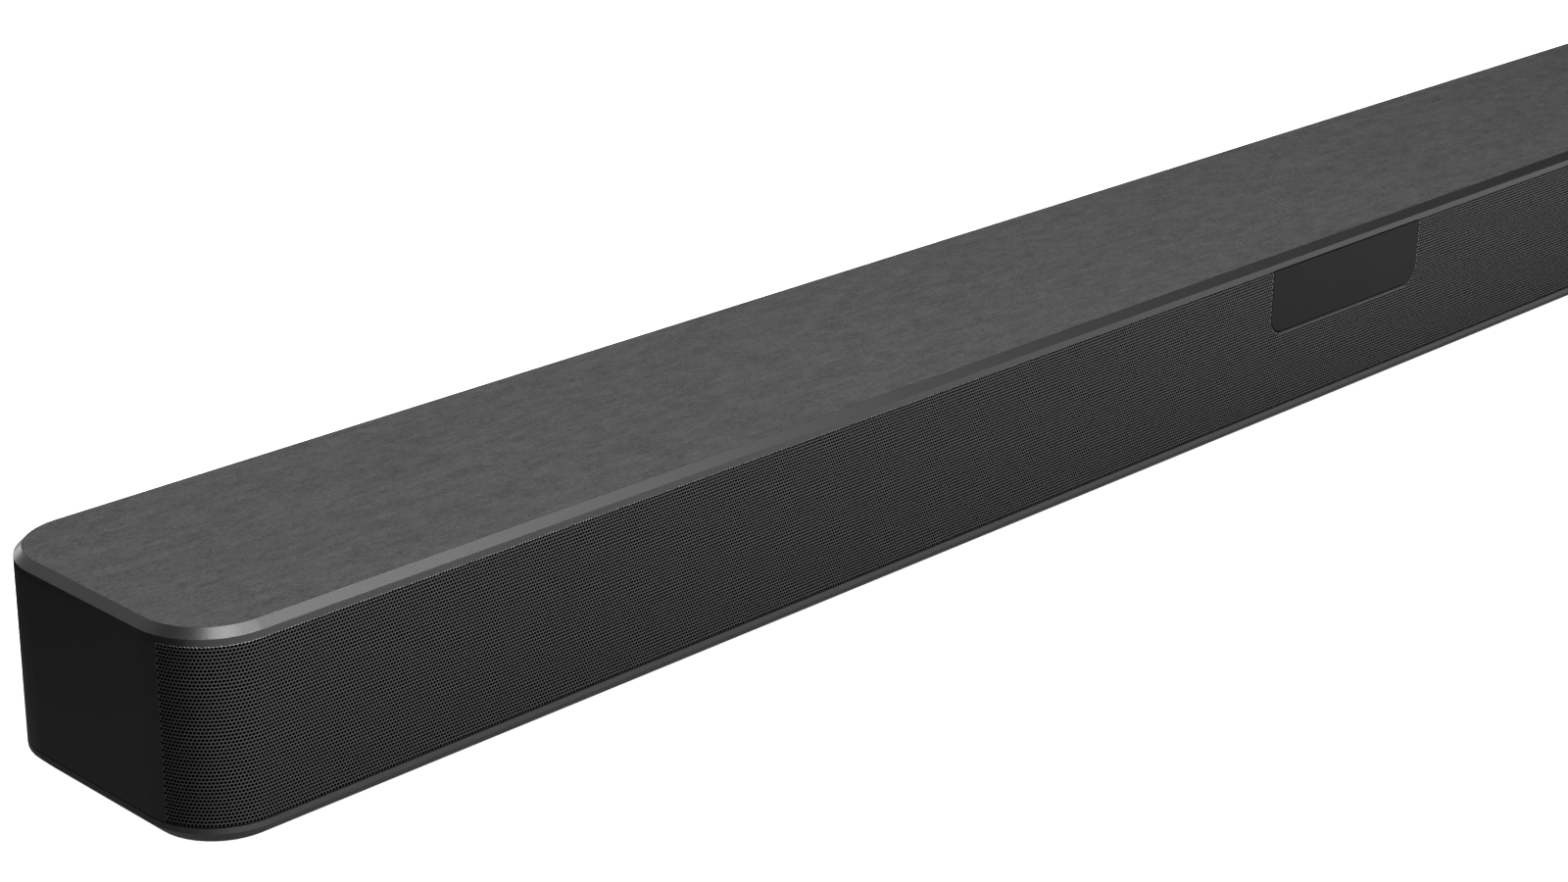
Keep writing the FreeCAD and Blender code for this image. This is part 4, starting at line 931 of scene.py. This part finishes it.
    def panel(
        self,
        index: int,
        u: np.ndarray,
        z: np.ndarray,
        hem: np.ndarray,
        cells: np.ndarray,
        centres: np.ndarray,
        radius: np.ndarray,
        halves: np.ndarray,
    ) -> bpy.types.Object:
        """Makes one panel of the sheet.

        Args:
            index: The panel's place in the row of panels.
            u: The corner points' distances along the sheet.
            z: The corner points' heights.
            hem: How far each corner point is folded back, up if positive.
            cells: The eight corner points of each cell.
            centres: Each cell's centre.
            radius: The radius of each cell's hole, or zero where the cell has none.
            halves: The corner points of the half cells.

        Returns:
            The panel.
        """
        sides = self.hole_sides
        corners = np.concatenate([cells.ravel(), halves.ravel()])
        used, local = np.unique(corners, return_inverse=True)
        rim = local[: cells.size].reshape(cells.shape)
        half_rim = local[cells.size :].reshape(-1, 4)
        zero = np.zeros(len(used))
        face_points = self.wrap(u[used], z[used] - hem[used], zero)
        fold_points = self.wrap(u[used], z[used], np.abs(hem[used]))
        back_points = self.wrap(u[used], z[used], zero + self.thickness)
        open_cell = radius > 0
        holes, reach = centres[open_cell], radius[open_cell][:, None]
        turn = np.arange(sides) * (math.tau / sides)
        hole_u = (holes[:, :1] + reach * np.cos(turn)).ravel()
        hole_z = (holes[:, 1:] + reach * np.sin(turn)).ravel()
        flat = np.zeros(len(hole_u))
        mouth = self.wrap(hole_u, hole_z, flat)
        floor = self.wrap(hole_u, hole_z, flat + self.thickness)
        points = np.concatenate([face_points, fold_points, back_points, mouth, floor])
        n = len(used)
        ring = 3 * n + np.arange(len(holes) * sides).reshape(-1, sides)
        deep = ring + len(holes) * sides
        step = np.roll(np.arange(sides), -1)
        open_rim = rim[open_cell]
        land = np.stack([open_rim, open_rim[:, step], ring[:, step], ring], axis=2).reshape(-1, 4)
        wall = np.stack([ring, ring[:, step], deep[:, step], deep], axis=2).reshape(-1, 4)
        solid = rim[~open_cell]
        thirds = ([0, 1, 2, 3], [3, 4, 5, 6], [6, 7, 0, 3])
        blank = np.concatenate([solid[:, third] for third in thirds])
        border = self.border(rim, half_rim, n)
        quads = np.concatenate([land, wall, blank, border])
        mesh = bpy.data.meshes.new(f"front_grille_{index + 1:02d}")
        faces = [tuple(dict.fromkeys(face)) for face in np.concatenate([quads, half_rim]).tolist()]
        mesh.from_pydata(points.tolist(), [], faces)
        made = settle(mesh, mesh.name, SheetFinish.FACE.value, "casing")
        for finish in (SheetFinish.WALL, SheetFinish.EDGE):
            mesh.materials.append(FINISHES[finish.value].material())
        choice = np.full(len(faces), SheetFinish.FACE.place, dtype=np.int32)
        # The hole walls take the near-black finish, which is painted shade inside the holes.
        choice[len(land) : len(land) + len(wall)] = SheetFinish.WALL.place
        rim_faces = len(land) + len(wall) + len(blank) + np.arange(len(border))
        lowest = points[border][:, :, Axis.Z.value].min(axis=1)
        upper_edge = rim_faces[lowest > self.z1 - self.hem * self.hem_reach]
        choice[upper_edge] = SheetFinish.EDGE.place
        mesh.polygons.foreach_set("material_index", choice)
        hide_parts("front_grille")
        return made

    def border(self, rim: np.ndarray, half_rim: np.ndarray, count: int) -> np.ndarray:
        """Finds the open edges of a panel and folds the sheet back along them.

        Args:
            rim: The corner points of the cells.
            half_rim: The corner points of the half cells.
            count: How many corner points there are.

        Returns:
            The faces of the hem and of the cut edge.
        """
        edge = np.concatenate(
            [np.stack([c, np.roll(c, -1, axis=1)], axis=2).reshape(-1, 2) for c in (rim, half_rim)]
        )
        edge = edge[edge[:, 0] != edge[:, 1]]
        forward = edge[:, 0] * (count + 1) + edge[:, 1]
        backward = edge[:, 1] * (count + 1) + edge[:, 0]
        lone = edge[~np.isin(forward, backward)]
        a, b = lone[:, 0], lone[:, 1]
        hem = np.stack([b, a, a + count, b + count], axis=1)
        cut = np.stack([b + count, a + count, a + 2 * count, b + 2 * count], axis=1)
        return np.concatenate([hem, cut])


class Mark(Enum):
    """The generic symbols on the buttons, with the body that each one rides on."""

    POWER = "power_button"
    INPUT = "input_button"
    DOWN = "volume_down_button"
    UP = "volume_up_button"


@dataclass
class ButtonMarks:
    """The small raised symbols on the four buttons."""

    radius: float = 1.9 * MM
    line: float = 0.32 * MM
    height: float = 0.07 * MM
    sunk: float = 0.01 * MM
    layer: float = 0.004 * MM
    cap_steps: int = 6
    arc_steps: int = 28
    ring_angles: tuple[float, float] = (120.0, 420.0)
    stem: tuple[float, float] = (0.35, 1.15)
    arrow_tip: float = 0.5
    arrow_head: float = 0.45
    stop_half: float = 0.8

    def bar(self, shape: Shape, start: Vector, end: Vector, level: float) -> None:
        """Adds one straight stroke with rounded ends.

        Args:
            shape: The shape it is added to.
            start: One end of the stroke.
            end: The other end.
            level: The height that it stands on.
        """
        along = (end - start).normalized()
        across = Vector((-along.y, along.x, 0.0))
        half = self.line / 2
        outline = []
        for place, side in ((end, -1.0), (start, 1.0)):
            for k in range(self.cap_steps + 1):
                a = math.pi * k / self.cap_steps
                aside, ahead = side * half * math.cos(a), -side * half * math.sin(a)
                outline.append(place + across * aside + along * ahead)
        self.raise_up(shape, outline, level)

    def arc(self, shape: Shape, centre: Vector, level: float) -> None:
        """Adds the open ring of the power symbol.

        Args:
            shape: The shape it is added to.
            centre: The middle of the ring.
            level: The height that it stands on.
        """
        first, last = self.ring_angles
        inner, outer = self.radius - self.line / 2, self.radius + self.line / 2
        strips = []
        for k in range(self.arc_steps + 1):
            a = math.radians(first + (last - first) * k / self.arc_steps)
            out = Vector((math.cos(a), math.sin(a), 0))
            strips.append((centre + out * inner, centre + out * outer))
        for (near, far), (next_near, next_far) in zip(strips, strips[1:]):
            self.raise_up(shape, [near, far, next_far, next_near], level)

    def raise_up(self, shape: Shape, outline: Sequence[Vector], level: float) -> None:
        """Adds a flat outline with its thickness.

        Args:
            shape: The shape it is added to.
            outline: The outline, turning left.
            level: The height that it stands on.
        """
        rings = [[Vector((p.x, p.y, level + rise)) for p in outline] for rise in (0.0, self.height)]
        shape.sweep(rings)

    def build(self) -> list[bpy.types.Object]:
        """Makes the four symbols.

        Returns:
            One object for each button.
        """
        made = []
        for mark in Mark:
            low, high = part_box(mark.value)
            middle, level = (low + high) / 2, high.z - self.sunk
            shape, r = Shape(), self.radius
            if mark is Mark.POWER:
                self.arc(shape, middle, level)
                foot, top = (middle + Y * (r * share) for share in self.stem)
                self.bar(shape, foot, top, level)
            elif mark is Mark.INPUT:
                tip, barb = middle + X * (r * self.arrow_tip), self.arrow_head * r
                self.bar(shape, middle - X * r, tip, level)
                self.bar(shape, tip, tip + Vector((-barb, -barb, 0)), level + self.layer)
                self.bar(shape, tip, tip + Vector((-barb, barb, 0)), level + self.layer * 2)
                stop, reach = middle + X * r, Y * (r * self.stop_half)
                self.bar(shape, stop - reach, stop + reach, level)
            else:
                self.bar(shape, middle - X * r, middle + X * r, level)
                if mark is Mark.UP:
                    self.bar(shape, middle - Y * r, middle + Y * r, level + self.layer)
            made.append(shape.piece(f"mark_{mark.value}", "mark_ink", "button_plastic", mark.value))
        return made


@dataclass
class SocketMetal:
    """The metal in the sockets of the connector bay: shields, contacts, sleeve and pin."""

    shell_wall: float = 0.6 * MM
    skin: float = 0.12 * MM
    clearance: float = 0.02 * MM
    liner_depth: float = 9.6 * MM
    contact_sunk: float = 0.01 * MM
    video_width: float = 15.0 * MM
    video_slant: float = 2.0 * MM
    video_tongue: float = 10.4 * MM
    video_tongue_thickness: float = 1.1 * MM
    video_contacts: int = 10
    video_contact_half: float = 0.2 * MM
    video_contact_rise: float = 0.06 * MM
    video_contact_recess: float = 1.5 * MM
    data_mouth: tuple[float, float] = (12.6 * MM, 5.2 * MM)
    data_contacts: int = 4
    data_contact_pitch: float = 2.4 * MM
    data_contact_half: float = 0.5 * MM
    data_contact_recess: float = 2.6 * MM
    data_contact_drop: float = 0.08 * MM
    data_tongue_rise: float = 0.2 * MM
    power_mouth: float = 3.2 * MM
    power_clearance: float = 0.03 * MM
    sleeve_recess: float = 0.6 * MM
    power_pin: float = 1.0 * MM
    pin_skin: float = 0.05 * MM
    pin_recess: float = 0.9 * MM
    pin_short: float = 1.0 * MM
    pin_bevel: float = 0.5 * MM
    pin_tip: float = 0.55
    pin_sides: int = 24

    def liner(
        self, shape: Shape, outline: Sequence[Vector], inner: Sequence[Vector], depth: float
    ) -> None:
        """Adds a thin metal lining just inside a socket's mouth.

        Args:
            shape: The shape it is added to.
            outline: The lining's outer outline, in the mouth's plane.
            inner: Its inner outline.
            depth: How far it reaches in.
        """
        back = [[p - Y * depth for p in ring] for ring in (inner, outline)]
        shape.sweep([list(outline), list(inner), *back], capped=False, closed=True)

    def video(
        self, low: Vector, face: float, middle: float, top: float
    ) -> list[bpy.types.Object]:
        """Dresses one video socket.

        Args:
            low: The lowest corner of the video sockets.
            face: Where the socket's face is.
            middle: The socket's centre along the bar.
            top: The socket's top.

        Returns:
            The lining and the contacts.
        """

        def outline(inset: float) -> list[Vector]:
            """The mouth's outline, drawn in by inset."""
            half = self.video_width / 2 - self.shell_wall - inset
            z0, z1 = low.z + self.shell_wall + inset, top - self.shell_wall - inset
            foot, knee = half - self.video_slant, z0 + self.video_slant
            right = ((foot, z0), (half, knee), (half, z1))
            corners = ((-foot, z0), *right, (-half, z1), (-half, knee))
            return [Vector((middle + x, face, z)) for x, z in corners]

        word = "a" if middle < low.x + self.video_width else "b"
        shield, contacts = Shape(), Shape()
        rims = outline(self.clearance), outline(self.clearance + self.skin)
        self.liner(shield, *rims, self.liner_depth)
        tongue_top = top - self.shell_wall - self.video_tongue_thickness
        sides = ((tongue_top, 1), (tongue_top - self.video_tongue_thickness, -1))
        pitch = self.video_tongue / (self.video_contacts + 1)
        y0, y1 = face - self.liner_depth, face - self.video_contact_recess
        for k in range(self.video_contacts):
            x = middle + (k - (self.video_contacts - 1) / 2) * pitch
            x0, x1 = x - self.video_contact_half, x + self.video_contact_half
            for z, way in sides:
                ends = z - way * self.contact_sunk, z + way * self.video_contact_rise
                contacts.slab(Vector((x0, y0, min(ends))), Vector((x1, y1, max(ends))))
        return [
            shield.piece(f"video_shield_{word}", "shield_steel", "shield_steel"),
            contacts.piece(f"video_contacts_{word}", "contact_gold", "brass"),
        ]

    def data(self) -> list[bpy.types.Object]:
        """Dresses the data socket.

        Returns:
            The lining and the contacts.
        """
        low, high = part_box("data_socket")
        middle = (low + high) / 2
        rings = []
        for inset in (self.clearance, self.clearance + self.skin):
            a, b = (size / 2 - inset for size in self.data_mouth)
            corners = ((-a, -b), (a, -b), (a, b), (-a, b))
            rings.append([Vector((middle.x + x, high.y, middle.z + z)) for x, z in corners])
        shield, contacts = Shape(), Shape()
        self.liner(shield, *rings, self.liner_depth)
        face = middle.z + self.data_tongue_rise
        z0, z1 = face - self.data_contact_drop, face + self.contact_sunk
        y0, y1 = high.y - self.liner_depth, high.y - self.data_contact_recess
        for k in range(self.data_contacts):
            x = middle.x + (k - (self.data_contacts - 1) / 2) * self.data_contact_pitch
            x0, x1 = x - self.data_contact_half, x + self.data_contact_half
            contacts.slab(Vector((x0, y0, z0)), Vector((x1, y1, z1)))
        return [
            shield.piece("data_shield", "shield_steel", "shield_steel"),
            contacts.piece("data_contacts", "contact_gold", "brass"),
        ]

    def power(self) -> list[bpy.types.Object]:
        """Dresses the power socket.

        Returns:
            The spring sleeve and the cap of the centre pin.
        """
        low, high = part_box("power_socket")
        middle = Vector(((low.x + high.x) / 2, high.y, (low.z + high.z) / 2))
        sleeve, pin = Shape(), Shape()
        outer = self.power_mouth - self.power_clearance
        start = middle - Y * self.sleeve_recess
        rims = [circle(start, radius, X, Z) for radius in (outer, outer - self.skin)]
        self.liner(sleeve, *rims, self.liner_depth - self.sleeve_recess)
        tip, r = middle - Y * self.pin_recess, self.power_pin + self.pin_skin
        length = self.liner_depth - self.pin_short
        profile = ((length, r), (self.pin_bevel, r), (0.0, r * self.pin_tip))
        rings = [circle(tip - Y * back, radius, X, Z, self.pin_sides) for back, radius in profile]
        pin.sweep([list(reversed(ring)) for ring in rings])
        return [
            sleeve.piece("power_sleeve", "shield_steel", "shield_steel", smooth=True),
            pin.piece("power_pin_cap", "shield_steel", "shield_steel", smooth=True),
        ]

    def build(self) -> list[bpy.types.Object]:
        """Makes the metalwork of every socket.

        Returns:
            The pieces.
        """
        low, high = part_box("video_sockets")
        made = []
        for middle in (low.x + self.video_width / 2, high.x - self.video_width / 2):
            made += self.video(low, high.y, middle, high.z)
        return made + self.data() + self.power()


@dataclass
class Underside:
    """The blank foil plate on the underside."""

    plate_size: tuple[float, float] = (84.0 * MM, 26.0 * MM)
    plate_centre: tuple[float, float] = (225.0 * MM, 0.0)
    thickness: float = 0.12 * MM
    corner: float = 3.0 * MM
    corner_steps: int = 6
    edge: float = 0.05 * MM

    def build(self) -> list[bpy.types.Object]:
        """Makes the plate with rounded corners.

        Returns:
            The plate.
        """
        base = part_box("bottom_cover")[0].z
        (w, d), (cx, cy) = self.plate_size, self.plate_centre
        x, y, step = w / 2 - self.corner, d / 2 - self.corner, 90 / self.corner_steps
        rings = []
        levels = ((self.thickness, self.edge), (self.thickness / 2, 0.0), (0.0, 0.0))
        for drop, inset in levels:
            ring = []
            for sx, sy, first in ((1, 1, 0), (-1, 1, 90), (-1, -1, 180), (1, -1, 270)):
                centre = Vector((cx + sx * x, cy + sy * y, base - drop))
                for k in range(self.corner_steps + 1):
                    a = math.radians(first + step * k)
                    out = X * math.cos(a) + Y * math.sin(a)
                    ring.append(centre + out * (self.corner - inset))
            rings.append(ring)
        plate = Shape().sweep(rings)
        return [plate.piece("blank_plate", "plate_foil", "shield_steel")]


@dataclass
class BoardDetail:
    """Small parts on the main board: chip resistors, and the metal tops of the capacitors."""

    count: int = 90
    seed: int = 7
    left_strip: tuple[float, float] = (4.0 * MM, 16.0 * MM)
    left_limit: float = -90.0 * MM
    front_strip: tuple[float, float] = (1.0 * MM, 3.0 * MM)
    middle_half: float = 18.0 * MM
    end_margin: float = 12.0 * MM
    chip_half: tuple[float, float] = (1.0 * MM, 0.5 * MM)
    chip_height: float = 0.5 * MM
    chip_soft: float = 0.08 * MM
    capacitor_first: float = 34.0 * MM
    capacitor_pitch: float = 13.0 * MM
    capacitor_count: int = 4
    capacitor_radius: float = 5.0 * MM
    capacitor_inset: float = 13.0 * MM
    top_profile: tuple[tuple[float, float], ...] = (
        (0.94, 0.0),
        (0.94, 0.12 * MM),
        (0.86, 0.18 * MM),
        (0.78, 0.06 * MM),
        (0.06, 0.06 * MM),
    )

    def chips(self) -> bpy.types.Object:
        """Scatters chip resistors over the free strip at the board's left end and its front edge.

        Returns:
            The chips as one piece.
        """
        low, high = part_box("main_board")
        rng, shape = random.Random(self.seed), Shape()
        first, last = self.left_strip
        for _ in range(self.count):
            at_left = rng.uniform(low.x + first, low.x + last)
            x = rng.choice((at_left, rng.uniform(-self.middle_half, self.middle_half)))
            if x < self.left_limit:
                y = rng.uniform(low.y + self.end_margin, high.y - self.end_margin)
            else:
                y = low.y + rng.uniform(*self.front_strip)
            a, b = self.chip_half if rng.random() < 0.5 else reversed(self.chip_half)
            corner = Vector((x + a, y + b, high.z + self.chip_height))
            shape.slab(Vector((x - a, y - b, high.z)), corner, self.chip_soft)
        return shape.piece("chip_resistors", "component", "component")

    def capacitor_tops(self) -> bpy.types.Object:
        """Makes the dished metal tops of the capacitors.

        Returns:
            The tops as one piece.
        """
        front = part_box("main_board")[0].y + self.capacitor_inset
        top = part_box("board_components")[1].z
        shape = Shape()
        for k in range(self.capacitor_count):
            centre = Vector((self.capacitor_first + k * self.capacitor_pitch, front, top))
            shape.sweep(
                [
                    circle(centre + Z * rise, self.capacitor_radius * share, X, Y)
                    for share, rise in self.top_profile
                ]
            )
        return shape.piece("capacitor_tops", "heatsink_aluminium", "heatsink_aluminium")

    def build(self) -> list[bpy.types.Object]:
        """Makes the small parts of the main board."""
        return [self.chips(), self.capacitor_tops()]


@dataclass
class Wardrobe:
    """Gives every CAD node its finish."""

    exceptions: tuple[tuple[str, str], ...] = (
        ("top_cover", "trim_plastic"),
        ("bottom_cover", "base_plastic"),
        ("button_ribbon", "flat_cable_along"),
    )

    def dress(self) -> None:
        """Swaps each plain packed material for the finish of its slot."""
        special = dict(self.exceptions)
        for name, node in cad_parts.items():
            for place, plain in enumerate(list(node.data.materials)):
                slot = plain.name.split(".")[0]
                node.data.materials[place] = FINISHES[special.get(name, slot)].material()
            LOG.info("dressed %s", name)


# ---------------------------------------------------------------------------------------------
# Studio


@dataclass
class Softbox:
    """One soft rectangular lamp."""

    name: str
    place: tuple[float, float, float]
    target: tuple[float, float, float]
    size: tuple[float, float]
    power: float

    def build(self) -> bpy.types.Object:
        """Makes the lamp and aims it.

        Returns:
            The lamp.
        """
        lamp = bpy.data.lights.new(self.name, "AREA")
        lamp.shape = "RECTANGLE"
        lamp.size, lamp.size_y = self.size
        lamp.energy = self.power
        made = bpy.data.objects.new(self.name, lamp)
        made.location = self.place
        aim = Vector(self.target) - Vector(self.place)
        made.rotation_euler = aim.to_track_quat("-Z", "Y").to_euler()
        made.visible_camera = False
        bpy.context.scene.collection.objects.link(made)
        return made


@dataclass
class Studio:
    """The pale table, the soft lamps and the camera."""

    camera_place: tuple[float, float, float] = (-0.822605, -0.594296, 0.364994)
    pitch: float = 21.3752
    yaw: float = 45.8123
    roll: float = 0.7904
    lens: float = 74.156
    sensor: float = 36.0
    clip: tuple[float, float] = (0.01, 100.0)
    table: float = 14.0
    table_tone: Colour = (0.9, 0.9, 0.9)
    table_grain: float = 20.0 * MM
    ambient: float = 0.01
    lamps: tuple[Softbox, ...] = (
        Softbox("below_front", (0.3, -0.5, -0.06), (0.3, -0.5, 1.0), (2.2, 0.7), 7.4),
        Softbox("below_under", (0.0, 0.05, -0.06), (0.0, 0.05, 1.0), (1.2, 0.35), 0.15),
        Softbox("corner_key", (-0.48, -0.53, 1.05), (-0.3, 0.0, 0.05), (0.6, 0.28), 12.0),
        Softbox("key", (0.05, -0.6, 1.05), (-0.3, 0.0, 0.05), (0.25, 0.25), 4.4),
        Softbox("key_fade", (0.42, -0.62, 1.05), (-0.3, 0.0, 0.05), (0.5, 0.25), 2.7),
        Softbox("overhead", (0.0, 0.15, 1.3), (0.0, 0.0, 0.0), (1.8, 0.9), 10.4),
        Softbox("back", (0.3, 1.3, 0.9), (0.0, 0.0, 0.03), (1.8, 0.8), 1.6),
        Softbox("rear_fill", (0.15, 1.7, 0.12), (0.0, 0.0, 0.03), (2.2, 0.2), 9.0),
        Softbox("back_left", (-0.95, 0.75, 0.6), (-0.445, 0.0, 0.04), (0.7, 0.7), 1.2),
        Softbox("front", (0.0, -1.5, 0.5), (0.0, 0.0, 0.03), (2.0, 0.8), 6.6),
    )

    def build_camera(self) -> None:
        """Makes the camera."""
        p, w, r = (math.radians(a) for a in (self.pitch, self.yaw, self.roll))
        ahead = Vector((math.cos(p) * math.sin(w), math.cos(p) * math.cos(w), -math.sin(p)))
        right = Vector((math.cos(w), -math.sin(w), 0.0))
        up = right.cross(ahead)
        across = right * math.cos(r) + up * math.sin(r)
        above = up * math.cos(r) - right * math.sin(r)
        data = bpy.data.cameras.new("camera")
        data.lens, data.sensor_width = self.lens, self.sensor
        data.clip_start, data.clip_end = self.clip
        made = bpy.data.objects.new("camera", data)
        pose = Matrix((across, above, -ahead)).transposed().to_4x4()
        pose.translation = self.camera_place
        made.matrix_world = pose
        bpy.context.scene.collection.objects.link(made)
        bpy.context.scene.camera = made

    def build_table(self) -> None:
        """Makes the pale, evenly lit table top, which the lamps' reflections leave out."""
        half = self.table / 2
        mesh = bpy.data.meshes.new("table_top")
        corners = [(-half, -half, 0.0), (half, -half, 0.0), (half, half, 0.0), (-half, half, 0.0)]
        mesh.from_pydata(corners, [], [(0, 1, 2, 3)])
        graph = Graph("table_finish")
        grain = graph.noise(graph.place(), self.table_grain, 2.0)
        colour = graph.shades(grain, self.table_tone, 0.01, 0.01)
        graph.surface(colour, 0.9, Emission_Color=(1.0, 1.0, 1.0), Emission_Strength=1.0)
        mesh.materials.append(graph.material)
        made = bpy.data.objects.new("table_top", mesh)
        made.visible_glossy = False
        made.visible_diffuse = False
        made.visible_shadow = False
        bpy.context.scene.collection.objects.link(made)

    def build(self) -> None:
        """Makes the camera, the table, the lamps and the room's even light."""
        self.build_camera()
        self.build_table()
        for lamp in self.lamps:
            lamp.build()
        world = bpy.data.worlds.new("room")
        world.use_nodes = True
        back = next(n for n in world.node_tree.nodes if n.type == "BACKGROUND")
        back.inputs["Color"].default_value = (1.0, 1.0, 1.0, 1.0)
        back.inputs["Strength"].default_value = self.ambient
        bpy.context.scene.world = world
        bpy.context.scene.view_settings.view_transform = "Standard"


def report(group: str, pieces: Iterable[bpy.types.Object]) -> None:
    """Logs the pieces of one sub-assembly."""
    LOG.info("%s: %s", group, ", ".join(piece.name for piece in pieces))


def main() -> None:
    """Builds the studio and every sub-assembly in order."""
    logging.basicConfig(level=logging.INFO, format="%(name)s: %(message)s")
    Studio().build()
    Wardrobe().dress()
    report("grille", Grille().build())
    report("button marks", ButtonMarks().build())
    report("socket metal", SocketMetal().build())
    report("underside", Underside().build())
    report("board detail", BoardDetail().build())


if __name__ == "__main__":
    main()
